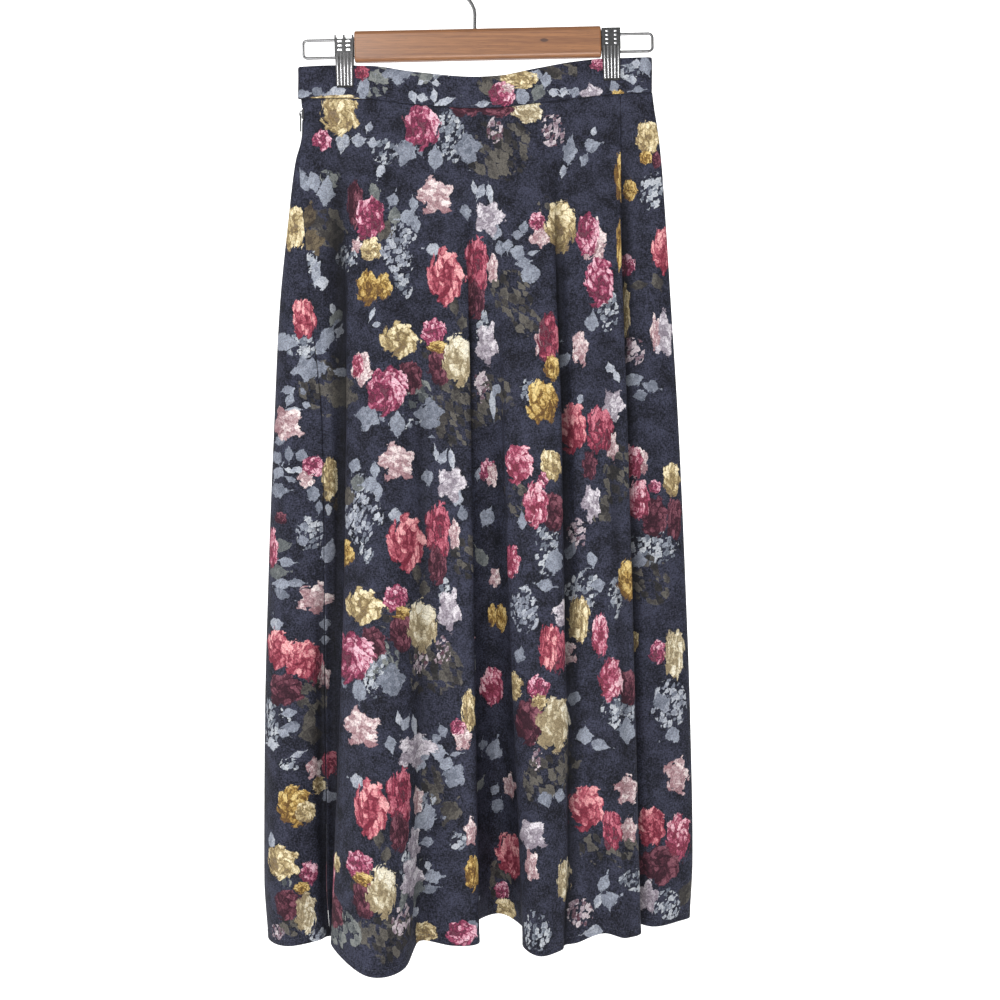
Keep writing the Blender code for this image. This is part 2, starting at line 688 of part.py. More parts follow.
def make_clip(name, centre_x, top_z, metal, rubber):
    # Two pressed plates that close on the band, a spring between them, and rubber jaws.
    grip = PINCH + 0.5 * BAND_WALL + FIT
    low_z = top_z - CLIP_HEIGHT
    ribs_from = top_z - 0.36 * CLIP_HEIGHT
    # Across one rib: the share of its pitch, and whether it stands up there.
    rib_line = ((0, 0), (0.18, 0), (0.34, 1), (0.66, 1), (0.82, 0))
    across = [((k + share) / CLIP_RIBS, up) for k in range(CLIP_RIBS) for share, up in rib_line]
    across.append((1.0, 0))

    def inside(z):
        share = (top_z - z) / CLIP_HEIGHT
        return 5.2 + (grip + JAW_PAD + 0.2 - 5.2) * share

    def width(z):
        return CLIP_WIDTH + (CLIP_FOOT_WIDTH - CLIP_WIDTH) * (top_z - z) / CLIP_HEIGHT

    for side, sign in (("front", -1), ("back", 1)):
        outer, inner = [], []
        for z, ribbed in ((top_z, 0), (ribs_from + 0.6, 0), (ribs_from, 1), (low_z, 1)):
            row_out, row_in = [], []
            for share, up in across:
                x = centre_x + (share - 0.5) * width(z)
                rib = CLIP_RIB * (up if ribbed else 0.5)
                row_out.append(hang_tilt((x, sign * (inside(z) + CLIP_SHEET + rib), z)))
                row_in.append(hang_tilt((x, sign * inside(z), z)))
            outer.append(row_out)
            inner.append(row_in)
        verts, faces = wall_mesh(outer, inner)
        add_object(f"{name}_{side}", verts, faces, metal)
        near, far = sorted((sign * grip, sign * (grip + JAW_PAD)))
        half = 0.5 * CLIP_FOOT_WIDTH - 0.3
        box(f"{name}_jaw_{side}", (centre_x - half, near, low_z - 1.2),
            (centre_x + half, far, low_z + 6.0), rubber, hang_tilt)
    spring_z = BAR_CENTRE_Z - LOOP_LOW
    half = 0.5 * CLIP_WIDTH - 2.2
    axis = [hang_tilt((centre_x + d, 0, spring_z)) for d in (-half, 0, half)]
    tube(f"{name}_spring", axis, 4.3, 14, metal)


def main():
    for old in list(bpy.data.objects):
        bpy.data.objects.remove(old, do_unlink=True)
    scene = bpy.context.scene
    scene.unit_settings.system = "METRIC"
    scene.unit_settings.scale_length = 1.0

    cloth = material("printed_cloth", (0.06, 0.065, 0.085), 0.85)
    band_cloth = material("band_cloth", (0.055, 0.06, 0.08), 0.85)
    tape_cloth = material("zip_tape_cloth", (0.03, 0.03, 0.04), 0.8)
    zip_metal = material("zip_enamel", (0.03, 0.03, 0.04), 0.35)
    pull_metal = material("pull_enamel", (0.025, 0.025, 0.035), 0.3)
    wood = material("beech", (0.5, 0.27, 0.14), 0.35)
    wire = material("hook_steel", (0.7, 0.7, 0.72), 0.2, 1.0)
    loop_wire = material("loop_steel", (0.7, 0.7, 0.72), 0.2, 1.0)
    clip_metal = material("clip_steel", (0.72, 0.72, 0.74), 0.2, 1.0)
    rubber = material("jaw_rubber", (0.03, 0.03, 0.03), 0.8)

    panel("skirt_front", "left", "right", cloth)
    panel("skirt_back_right", "right", "centre", cloth)
    panel("skirt_back_left", "centre", "left", cloth)
    make_band(band_cloth)
    make_zip(tape_cloth, zip_metal)
    bpy.data.objects["zip_pull"].data.materials[0] = pull_metal
    cutters = make_loops(loop_wire)
    cutters += make_hook(wire)
    make_bar(wood, cutters)
    make_clip("clip_left", -130.6, -84.2, clip_metal, rubber)
    make_clip("clip_right", 135.8, -82.6, clip_metal, rubber)


main()
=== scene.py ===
# A long a-line skirt in a printed flower cloth, hanging from a wooden clip hanger.
# X runs along the waistband, -Y is the skirt's front and +Z is up. The origin is where a rail
# bears inside the hook. Sizes are millimetres until a mesh is made, which is in metres.

import math
import random
from collections import namedtuple

import bmesh
import bpy
import numpy as np
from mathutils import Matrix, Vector


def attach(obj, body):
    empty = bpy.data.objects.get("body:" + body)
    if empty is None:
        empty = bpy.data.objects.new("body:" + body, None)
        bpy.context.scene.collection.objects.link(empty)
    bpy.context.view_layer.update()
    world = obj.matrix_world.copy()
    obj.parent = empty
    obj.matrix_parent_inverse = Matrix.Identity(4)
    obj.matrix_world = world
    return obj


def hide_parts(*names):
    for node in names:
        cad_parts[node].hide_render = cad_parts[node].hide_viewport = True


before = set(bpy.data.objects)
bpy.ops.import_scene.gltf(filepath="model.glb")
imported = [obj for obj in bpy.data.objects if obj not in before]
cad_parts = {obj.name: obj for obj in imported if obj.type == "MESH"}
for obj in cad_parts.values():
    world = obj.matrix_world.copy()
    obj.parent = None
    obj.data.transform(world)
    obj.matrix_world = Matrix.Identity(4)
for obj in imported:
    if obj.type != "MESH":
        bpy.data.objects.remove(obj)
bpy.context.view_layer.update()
body = "skirt_on_hanger"
mm = 0.001


def srgb(r, g, b):
    # A colour as a painter reads it, 0 to 255, in the renderer's linear light.
    def linear(c):
        c /= 255
        return c / 12.92 if c <= 0.04045 else ((c + 0.055) / 1.055) ** 2.4
    return (linear(r), linear(g), linear(b), 1.0)


# ---- small tools for shaders

class Wire:
    # An output of a node that can be used in sums.
    def __init__(self, paint, socket):
        self.paint, self.socket = paint, socket

    def __add__(self, other):
        return self.paint.maths("ADD", self, other)

    def __radd__(self, other):
        return self.paint.maths("ADD", other, self)

    def __sub__(self, other):
        return self.paint.maths("SUBTRACT", self, other)

    def __rsub__(self, other):
        return self.paint.maths("SUBTRACT", other, self)

    def __mul__(self, other):
        return self.paint.maths("MULTIPLY", self, other)

    def __rmul__(self, other):
        return self.paint.maths("MULTIPLY", other, self)

    def __truediv__(self, other):
        return self.paint.maths("DIVIDE", self, other)

    def __rtruediv__(self, other):
        return self.paint.maths("DIVIDE", other, self)

    def __pow__(self, other):
        return self.paint.maths("POWER", self, other)


class Paint:
    # A material whose nodes are added one by one.
    def __init__(self, name):
        self.material = bpy.data.materials.new(name)
        self.material.use_nodes = True
        self.nodes = self.material.node_tree.nodes
        self.links = self.material.node_tree.links
        self.nodes.clear()

    def add(self, kind, settings=None, inputs=None, output=0):
        node = self.nodes.new(kind)
        for name, value in (settings or {}).items():
            if name == "stops":
                self.setStops(node.color_ramp, value)
            else:
                setattr(node, name, value)
        for name, value in (inputs or {}).items():
            if isinstance(value, Wire):
                self.links.new(value.socket, node.inputs[name])
            else:
                node.inputs[name].default_value = value
        return Wire(self, node.outputs[output]) if len(node.outputs) else None

    def setStops(self, ramp, stops):
        while len(ramp.elements) > 1:
            ramp.elements.remove(ramp.elements[-1])
        ramp.elements[0].position, ramp.elements[0].color = stops[0]
        for place, colour in stops[1:]:
            ramp.elements.new(place).color = colour

    def place(self):
        # The piece's own coordinates, in metres.
        return self.add("ShaderNodeTexCoord", None, None, 3)

    def output(self, wire, number):
        return Wire(self, wire.socket.node.outputs[number])

    def maths(self, operation, *values):
        return self.add("ShaderNodeMath", {"operation": operation}, dict(enumerate(values)))

    def mix(self, a, b, share):
        return self.add("ShaderNodeMix", {"data_type": "RGBA"}, {0: share, 6: a, 7: b}, 2)

    def vector(self, operation, *values):
        return self.add("ShaderNodeVectorMath", {"operation": operation}, dict(enumerate(values)))

    def scaled(self, wire, size):
        return self.add("ShaderNodeVectorMath", {"operation": "SCALE"}, {0: wire, "Scale": size})

    def parts(self, wire):
        made = self.add("ShaderNodeSeparateXYZ", None, {0: wire})
        return made, self.output(made, 1), self.output(made, 2)

    def joined(self, x, y, z):
        return self.add("ShaderNodeCombineXYZ", None, {0: x, 1: y, 2: z})

    def step(self, value, low, high):
        # 0 below low and 1 above high, or the other way round where high is the smaller.
        settings = {"interpolation_type": "SMOOTHSTEP"}
        return self.add("ShaderNodeMapRange", settings, {0: value, 1: low, 2: high, 3: 0.0, 4: 1.0})

    def noise(self, place, scale, detail=2.0, rough=0.5, output=0):
        return self.add("ShaderNodeTexNoise", None, {
            "Vector": place, "Scale": scale, "Detail": detail, "Roughness": rough}, output)

    def stretched(self, place, sizes, detail=1.0, rough=0.5):
        return self.noise(self.vector("MULTIPLY", place, sizes), 1.0, detail, rough)

    def cells(self, place, feature="F1", distance="EUCLIDEAN", output=0):
        settings = {"feature": feature, "distance": distance}
        return self.add("ShaderNodeTexVoronoi", settings, {"Vector": place, "Scale": 1.0}, output)

    def ink(self, kinds, kind, shade, low=0.0, high=1.0):
        # Every kind has its own stretch of one ramp, from its dark tone to its light one.
        share = self.step(shade, low, high) * 0.88 + 0.06
        return self.add("ShaderNodeValToRGB", {"stops": kindStops(kinds)},
                        {0: (kind + share) / len(kinds)})

    def attribute(self, name, output=1):
        return self.add("ShaderNodeAttribute", {"attribute_name": name}, None, output)

    def finish(self, values, normal=None):
        shader = self.add("ShaderNodeBsdfPrincipled", None, values)
        if normal is not None:
            self.links.new(normal.socket, shader.socket.node.inputs["Normal"])
        self.add("ShaderNodeOutputMaterial", None, {"Surface": shader})
        return self.material

    def bump(self, height, strength, distance):
        return self.add("ShaderNodeBump", None, {
            "Strength": strength, "Distance": distance, "Height": height})


def makeMesh(name, points, faces, material, smooth=True):
    mesh = bpy.data.meshes.new(name)
    mesh.from_pydata([tuple(c * mm for c in p) for p in points], [], faces)
    mesh.polygons.foreach_set("use_smooth", [smooth] * len(mesh.polygons))
    mesh.materials.append(material)
    mesh.update()
    made = bpy.data.objects.new(name, mesh)
    bpy.context.scene.collection.objects.link(made)
    return made


# ---- the shape in which the cloth hangs

cloth = {
    "shell": 1.1,            # thickness of the panels
    "bandShell": 2.2,        # the waistband is two layers with stiffening
    "seamGap": 0.3,
    "pinch": 1.5,            # half the space between front and back under the clips
    "bowFront": 7.0,
    "bowBack": 5.0,
    "bandEnd": 177.2,
    "bandFlat": 172,         # where the band begins to turn at its ends
    "hemZ": -982.0,
    "hemSlope": 0.026,
    "topRow": 2.0,           # height of the rows of faces near the waist, then further down
    "row": 4.7,
    "frontSpan": 11,         # faces between two fold lines
    "backSpan": 12,
    "sliderDown": 15.0,
    "sliderLength": 9.0,
    "sliderNotch": 2.7,
    "stitchUp": 7.0,         # the hem's stitch line above the edge
    "hemOut": 0.3,           # how much the turned hem thickens the cloth outwards and inwards
    "hemIn": 0.5,
    "stitchGroove": 0.22,
    "foldInk": 6.0,          # a tuck this deep gets the full painted shade
    "stitchPitch": 3.2,
    "stitchLong": 2.3,
    "stitchThick": 0.5,
}
# The eye that the print's charts are drawn for, in millimetres, and the middle of its view.
eye = {"away": 1800.0, "x": 25.0, "z": -481.0, "middleX": 500, "middleY": 430}

Outline = namedtuple("Outline", "down left right turned")
outlineRows = (
    Outline(0, 173.3, 177.3, 0),
    Outline(15, 172.2, 179.2, 0),
    Outline(33, 172.4, 182.2, 0),
    Outline(62, 179.6, 186.0, 4),
    Outline(122, 187.5, 191.0, 17),
    Outline(212, 197.2, 197.5, 35),
    Outline(332, 204.0, 206.0, 54),
    Outline(482, 210.6, 214.0, 63),
    Outline(632, 215.0, 220.5, 69),
    Outline(776, 216.2, 224.0, 72),
    Outline(836, 212.5, 221.5, 72),
)

BandEdge = namedtuple("BandEdge", "x top seam")
bandEdges = (
    BandEdge(-178, -118.5, -149.8),
    BandEdge(-140, -116.6, -149.6),
    BandEdge(-105, -117.2, -150.4),
    BandEdge(-60, -123.8, -156.2),
    BandEdge(0, -129.4, -160.4),
    BandEdge(22, -128.2, -159.8),
    BandEdge(60, -120.5, -155.0),
    BandEdge(100, -112.8, -149.8),
    BandEdge(127, -110.0, -146.4),
    BandEdge(178, -108.6, -143.4),
)

# Lines down the cloth: x at waist, mid height and hem, how far forward at mid height and hem,
# and how much lower than the level hem the line ends.
midShare = 0.4
Fold = namedtuple("Fold", "name waist mid hem midOut hemOut drop")
frontFolds = (
    Fold("underA", -149, -130, -124, 13, 8, 3),
    Fold("edgeA", -123, -124, -142, 34, 56, -9),
    Fold("crestA", -103, -95, -101, 52, 112, 11),
    Fold("shoulderA", -81, -70, -66, 48, 92, 11),
    Fold("dipA", -55, -49, -55, 38, 50, -7),
    Fold("riseB", -28, -21, -21, 40, 58, -2),
    Fold("edgeB", -11, -3, 7, 38, 56, -3),
    Fold("underB", -2, -6, -6, 24, 6, -8),
    Fold("floorB", 8, 13, 26, 14, -46, -7),
    Fold("underC", 18, 28, 55, 24, 10, 0),
    Fold("edgeC", 28, 30, 46, 38, 47, 2),
    Fold("crestC", 51, 54, 63, 46, 76, 6),
    Fold("edgeD", 77, 84, 86, 43, 58, 4),
    Fold("underD", 84, 87, 100, 27, 47, 1),
    Fold("ridgeD", 105, 109, 127, 33, 30, -4),
    Fold("riseE", 127, 136, 149, 27, 36, 2),
    Fold("edgeE", 139, 152, 166, 22, 24, -1),
)
rightFolds = (
    Fold("rightSeam", 145, 145, 149, 8, -8, -2),
    Fold("outE", 156, 170, 181, -1, -15, 5),
)
backFolds = (
    Fold("crestP", 142, 158, 164, -56, -130, 6),
    Fold("dipP", 98, 104, 106, -38, -88, 0),
    Fold("crestQ", 46, 52, 54, -60, -142, 6),
    Fold("dipQ", -6, -10, -8, -46, -104, 0),
    Fold("crestR", -62, -72, -74, -60, -144, 6),
    Fold("dipR", -112, -122, -124, -40, -92, 0),
    Fold("crestS", -147, -164, -172, -48, -112, 5),
)

# Lines at the sides, inset from the outline, with their share of the left seam's turn.
Side = namedtuple("Side", "name waist mid hem share waistOut midOut hemOut drop")
leftSeam = Side("leftSeam", 0.0, 0, 0, 1.0, 0.0, 11, 6, 0)
leftFront = Side("leftFront", 3.6, 8, 6, 1.0, 2.8, 12, 7, 1)
rightFront = Side("rightFront", 3.6, 13, 16, 0.0, 2.8, -5, -27, 3)
rightEdge = Side("rightEdge", 0.0, 0, 0, 0.0, 0.0, -15, -46, 3)
rightBack = Side("rightBack", 3.6, 10, 24, 0.0, -2.8, -38, -104, 7)
leftBack = Side("leftBack", 1.6, 2, 4, 0.0, -2.8, -26, -50, 6)
leftWrap = Side("leftWrap", 0.4, 0, 0, 0.08, -1.4, -4, -4, 5)
leftTurn = Side("leftTurn", 0.0, 0, 0, 0.42, -0.7, 12, 26, 4)
lowest = outlineRows[-1].down


def smooth(xs, ys, x):
    # Monotone cubic through the points.
    n = len(xs)
    step = [xs[i + 1] - xs[i] for i in range(n - 1)]
    rise = [(ys[i + 1] - ys[i]) / step[i] for i in range(n - 1)]
    slope = [rise[0]] + [0.0] * (n - 2) + [rise[-1]]
    for i in range(1, n - 1):
        if rise[i - 1] * rise[i] > 0:
            a = 2 * step[i] + step[i - 1]
            b = step[i] + 2 * step[i - 1]
            slope[i] = (a + b) / (a / rise[i - 1] + b / rise[i])
    k = 0
    while k < n - 2 and x > xs[k + 1]:
        k += 1
    t = (x - xs[k]) / step[k]
    low = (1 + 2 * t) * (1 - t) ** 2 * ys[k] + t * (1 - t) ** 2 * step[k] * slope[k]
    high = t * t * (3 - 2 * t) * ys[k + 1] + t * t * (t - 1) * step[k] * slope[k + 1]
    return low + high


def grow(waist, mid, hem, t):
    # Starts level at the waist, then opens steadily to the hem.
    first = (mid - waist) / midShare
    last = (hem - mid) / (1 - midShare)
    across = 0.5 * (first + last)
    if t < midShare:
        u, size, a, b, sa, sb = t / midShare, midShare, waist, mid, 0.0, across
    else:
        size = 1 - midShare
        u, a, b, sa, sb = (t - midShare) / size, mid, hem, across, last
    low = (1 + 2 * u) * (1 - u) ** 2 * a + u * (1 - u) ** 2 * size * sa
    high = u * u * (3 - 2 * u) * b + u * u * (u - 1) * size * sb
    return low + high


def bandOut(x, front):
    bow = cloth["bowFront"] if front else cloth["bowBack"]
    reach = 118.0    # the clips hold the band flat beyond this
    middle = math.cos(0.5 * math.pi * x / reach) ** 2 if abs(x) < reach else 0.0
    end = min(max((abs(x) - 146.0) / 20.0, 0.0), 1.0) * 1.3
    out = cloth["pinch"] + bow * middle + end
    return out if front else -out


def bandTop(x):
    return smooth([e.x for e in bandEdges], [e.top for e in bandEdges], x)


def waistSeam(x):
    return smooth([e.x for e in bandEdges], [e.seam for e in bandEdges], x)


def place(x, waistX, out, drop, t):
    top = waistSeam(waistX) - cloth["seamGap"]
    hem = cloth["hemZ"] + cloth["hemSlope"] * x - drop
    return Vector((x, -out, top + (hem - top) * t))


def foldPoint(fold, t, front):
    x = smooth((0, midShare, 1), (fold.waist, fold.mid, fold.hem), t)
    out = grow(bandOut(fold.waist, front), fold.midOut, fold.hemOut, t)
    return place(x, fold.waist, out, fold.drop * t, t)


def sidePoint(side, t, sign):
    down = t * lowest
    rows = [o.down for o in outlineRows]
    edge = smooth(rows, [o.left if sign < 0 else o.right for o in outlineRows], down)
    turned = smooth(rows, [o.turned for o in outlineRows], down)
    inset = smooth((0, midShare, 1), (side.waist, side.mid, side.hem), t) + side.share * turned
    out = grow(side.waistOut, side.midOut, side.hemOut, t)
    return place(sign * (edge - inset), sign * cloth["bandFlat"], out, side.drop * t, t)


def section(t):
    # The closed line of the cloth at one height, from the left seam round the front.
    points = [sidePoint(leftSeam, t, -1), sidePoint(leftFront, t, -1)]
    points += [foldPoint(f, t, True) for f in frontFolds]
    seams = {"left": 0, "right": len(points)}
    points += [foldPoint(f, t, True) for f in rightFolds]
    points += [sidePoint(s, t, 1) for s in (rightFront, rightEdge, rightBack)]
    seams["centre"] = len(points) + [f.name for f in backFolds].index("dipQ")
    points += [foldPoint(f, t, False) for f in backFolds]
    points += [sidePoint(s, t, -1) for s in (leftBack, leftWrap, leftTurn)]
    return np.array([tuple(p) for p in points]), seams


def splinePoints(points, first, last, perSpan):
    # Points on a smooth closed line, part B-spline, part Catmull-Rom.
    n = len(points)
    rows = []
    for i in range(first, last):
        a, b, c, d = (points[(i + k - 1) % n] for k in range(4))
        us = np.arange(perSpan + (i == last - 1))[:, None] / perSpan
        through = (b * 2 + (c - a) * us + (a * 2 - b * 5 + c * 4 - d) * us ** 2
                   + (b * 3 - a - c * 3 + d) * us ** 3) * 0.5
        near = (a * (1 - us) ** 3 + b * (3 * us ** 3 - 6 * us ** 2 + 4)
                + c * (3 * us + 3 * us ** 2 - 3 * us ** 3 + 1) + d * us ** 3) / 6
        rows.append(through * 0.6 + near * 0.4)
    return np.concatenate(rows)


def rowHeights():
    downs, down = [], 0.0
    while down < lowest - 1:
        downs.append(down)
        down += cloth["topRow"] if down < 26 else cloth["row"]
    return downs + [lowest]


def seamSpace(seam, down):
    # Half the space at a seam, which opens for the zip's slider.
    if seam == "left" and abs(down - cloth["sliderDown"]) <= 0.5 * cloth["sliderLength"] + 1:
        return cloth["sliderNotch"]
    return 0.5 * cloth["seamGap"]


def drawnBack(line, gap):
    # Moves the start of a line in by the gap, easing the points after it along the line.
    ease = max(4.0 * gap, 2.0)
    reach = np.concatenate([[0], np.cumsum(np.linalg.norm(np.diff(line, axis=0), axis=1))])
    moved = np.where(reach < ease, gap + reach * (ease - gap) / ease, reach)
    return np.stack([np.interp(moved, reach, line[:, k]) for k in range(3)], axis=1)


def panelGrid(start, stop, perSpan):
    # Rows of points on the middle of the cloth between two seams.
    rows = []
    lift = None
    for down in rowHeights():
        t = down / lowest
        points, seams = section(t)
        first, last = seams[start], seams[stop] or len(points)
        line = splinePoints(points, first, last, perSpan)
        if lift is None:
            lift = [waistSeam(p[0]) - 1.5 * cloth["seamGap"] - p[2] for p in line]
        line[:, 2] += np.array(lift) * (1 - t) ** 6
        line = drawnBack(line, seamSpace(start, down))
        line = drawnBack(line[::-1], seamSpace(stop, down))[::-1]
        rows.append(line)
    return np.array(rows)


def meshNormals(grid):
    across = np.gradient(grid, axis=1)
    downward = np.gradient(grid, axis=0)
    normals = np.cross(downward, across)
    return normals / np.linalg.norm(normals, axis=2, keepdims=True)


def seenAt(points):
    # Where a point shows to the eye, in thousandths of its view.
    x, y, z = points[..., 0], points[..., 1], points[..., 2]
    size = eye["away"] / (y + eye["away"])
    return eye["middleX"] + size * (x - eye["x"]), eye["middleY"] - size * (z - eye["z"])


# Soft troughs (deep below zero) and ridges: x and height of both ends, half width and depth.
Crease = namedtuple("Crease", "x0 z0 x1 z1 wide deep")
frontCreases = (
    Crease(-128, -175, -122, -330, 7, -1.2),
    Crease(-96, -170, -88, -420, 12, 1.0),
    Crease(-62, -168, -50, -300, 9, -0.9),
    Crease(-22, -172, -18, -360, 9, 0.8),
    Crease(3, -175, 4, -420, 6, -1.3),
    Crease(30, -172, 38, -330, 8, -0.8),
    Crease(62, -168, 72, -420, 9, 0.8),
    Crease(98, -160, 100, -520, 6, -1.2),
    Crease(-150, -330, -158, -560, 9, -0.8),
    Crease(-112, -460, -120, -800, 8, -1.0),
    Crease(-80, -520, -70, -900, 12, 1.2),
    Crease(-40, -430, -36, -700, 10, -0.9),
    Crease(-26, -700, -34, -960, 9, 1.0),
    Crease(12, -560, 18, -860, 8, 0.8),
    Crease(60, -470, 70, -760, 9, -0.8),
    Crease(98, -650, 100, -940, 7, 0.9),
    Crease(120, -420, 132, -700, 8, -0.8),
    Crease(-176, -700, -180, -930, 8, 0.9),
)
backCreases = (
    Crease(160, -260, 172, -520, 9, -1.0),
    Crease(120, -200, 128, -480, 10, 0.9),
    Crease(80, -190, 84, -420, 9, -1.1),
    Crease(38, -180, 30, -520, 11, 1.0),
    Crease(-4, -180, -8, -560, 7, -1.2),
    Crease(-40, -190, -50, -430, 10, 0.9),
    Crease(-92, -200, -98, -560, 9, -1.1),
    Crease(-136, -190, -150, -460, 8, 0.9),
    Crease(140, -600, 150, -930, 10, 1.1),
    Crease(90, -560, 98, -840, 9, -0.9),
    Crease(20, -640, 22, -950, 10, 1.0),
    Crease(-30, -620, -34, -880, 9, -1.0),
    Crease(-110, -640, -118, -960, 10, 1.1),
    Crease(-170, -520, -176, -840, 9, -0.8),
)


# Narrow deep troughs beside the folds, each between two fold lines of its panel: where it runs
# at the waist, mid height, low down and at the hem, where it starts, and its size.
lowShare = 0.68
Tuck = namedtuple("Tuck", "waist mid low hem start wide deep")
frontTucks = (
    Tuck(2.6, 1.7, 1.0, 0.5, 0.0, 9.0, -6.5),
    Tuck(9.0, 8.95, 8.9, 8.9, 0.12, 4.0, -6.0),
    Tuck(14.6, 14.95, 15.2, 14.5, 0.05, 6.0, -7.5),
    Tuck(17.1, 17.1, 17.2, 17.3, 0.3, 6.0, -2.6),
    Tuck(6.0, 6.0, 6.0, 6.1, 0.25, 7.0, -2.8),
    Tuck(11.3, 11.3, 11.3, 11.4, 0.45, 4.5, -3.0),
)
rightTucks = (
    Tuck(0.1, 0.38, 0.45, 0.55, 0.0, 7.0, -6.5),
    Tuck(6.0, 6.1, 6.0, 6.0, 0.15, 6.0, -5.0),
)
leftTucks = (
    Tuck(6.9, 6.9, 6.9, 6.88, 0.5, 6.0, -6.0),
    Tuck(2.0, 2.1, 2.0, 2.0, 0.2, 6.0, -4.5),
)


def tucked(grid, normals, tucks, span):
    # Sinks the cloth at each tuck, and gives how deep each point lies in one, which sets the
    # painted shade there.
    rows, cols = grid.shape[:2]
    steps = np.linalg.norm(np.diff(grid, axis=1), axis=2)
    along = np.concatenate([np.zeros((rows, 1)), np.cumsum(steps, axis=1)], axis=1)
    out = np.zeros((rows, cols))
    folded = np.zeros((rows, cols))
    for r, down in enumerate(rowHeights()):
        t = down / lowest
        for tuck in tucks:
            lines = (tuck.waist, tuck.mid, tuck.low, tuck.hem)
            line = smooth((0, midShare, lowShare, 1), lines, t)
            middle = np.interp(line * span, np.arange(cols), along[r])
            middle += 1.3 * math.sin(down / 61.0 + tuck.waist) + 0.7 * math.sin(down / 23.0)
            ease = min(max((t - tuck.start) / 0.2, 0.0), 1.0)
            ease *= ease * (3 - 2 * ease)
            near = np.exp(-((along[r] - middle) / tuck.wide) ** 2)
            out[r] += tuck.deep * near * ease
            # The weight of the painted shade: full in a deep tuck, a little less towards the hem.
            folded[r] += near * ease * min(-tuck.deep / cloth["foldInk"], 1.0) * (1 - 0.22 * t)
    return grid + normals * out[..., None], np.clip(folded, 0, 1)


def creased(grid, normals, creases, facing):
    # Moves the cloth along its normals at each crease, on the side that faces that way.
    out = np.zeros(grid.shape[:2])
    for crease in creases:
        along = np.array((crease.x1 - crease.x0, crease.z1 - crease.z0), float)
        length = np.hypot(*along)
        along /= length
        dx, dz = grid[..., 0] - crease.x0, grid[..., 2] - crease.z0
        run = dx * along[0] + dz * along[1]
        wander = 2.5 * np.sin(run / 47.0 + crease.x0) + 1.2 * np.sin(run / 19.0 + crease.z0)
        off = dx * along[1] - dz * along[0] + wander
        ends = np.clip(np.minimum(run, length - run) / 45.0, 0, 1)
        ends = ends * ends * (3 - 2 * ends)
        out += crease.deep * np.exp(-(off / crease.wide) ** 2) * ends
    side = np.clip(-normals[..., 1] * facing * 3, 0, 1)
    return grid + normals * (out * side)[..., None]


def shell(grid, panel, material):
    # Turns rows of points into a thin closed shell. The inner faces are marked, so that they
    # can show the paler reverse of the print.
    rows, cols = grid.shape[:2]
    normals = meshNormals(grid)
    grid = creased(grid, normals, panel.creases, panel.facing)
    grid, folded = tucked(grid, normals, panel.tucks, panel.span)
    normals = meshNormals(grid)
    half = np.full(rows, 0.5 * cloth["shell"])
    inner = half.copy()
    up = lowest - np.array(rowHeights())
    turned = np.clip((cloth["stitchUp"] - up) / 2.5 + 0.5, 0, 1)
    groove = np.exp(-((up - cloth["stitchUp"] - 0.6) / 1.6) ** 2)
    half = half + cloth["hemOut"] * turned - cloth["stitchGroove"] * groove
    inner = inner + cloth["hemIn"] * turned
    outside = grid + normals * half[:, None, None]
    inside = grid - normals * inner[:, None, None]
    made = closedWall(panel.name, outside, inside, material)
    # How deep each point lies in a tuck, kept on the mesh for the painted shade.
    depth = np.concatenate([folded.ravel(), folded.ravel()])
    made.data.attributes.new("folded", "FLOAT", "POINT").data.foreach_set("value", depth)
    return made


def closedWall(name, outside, inside, material):
    rows, cols = outside.shape[:2]
    points = np.concatenate([outside.reshape(-1, 3), inside.reshape(-1, 3)])
    index = np.arange(rows * cols).reshape(rows, cols)
    a, b = index[:-1, :-1].ravel(), index[:-1, 1:].ravel()
    d, e = index[1:, :-1].ravel(), index[1:, 1:].ravel()
    more = rows * cols
    faces = [np.stack([a, d, e, b], axis=1), np.stack([a, b, e, d], axis=1) + more]
    for edge, flip in ((index[0], False), (index[-1], True),
                       (index[:, 0], True), (index[:, -1], False)):
        p, q = edge[:-1], edge[1:]
        strip = np.stack([p, q, q + more, p + more], axis=1)
        faces.append(strip[:, ::-1] if flip else strip)
    faces = np.concatenate(faces)
    made = makeMesh(name, points, faces.tolist(), material)
    count = (rows - 1) * (cols - 1)
    values = np.zeros(len(faces))
    values[count:2 * count] = 1
    made.data.attributes.new("reverse", "FLOAT", "FACE").data.foreach_set("value", values)
    return made


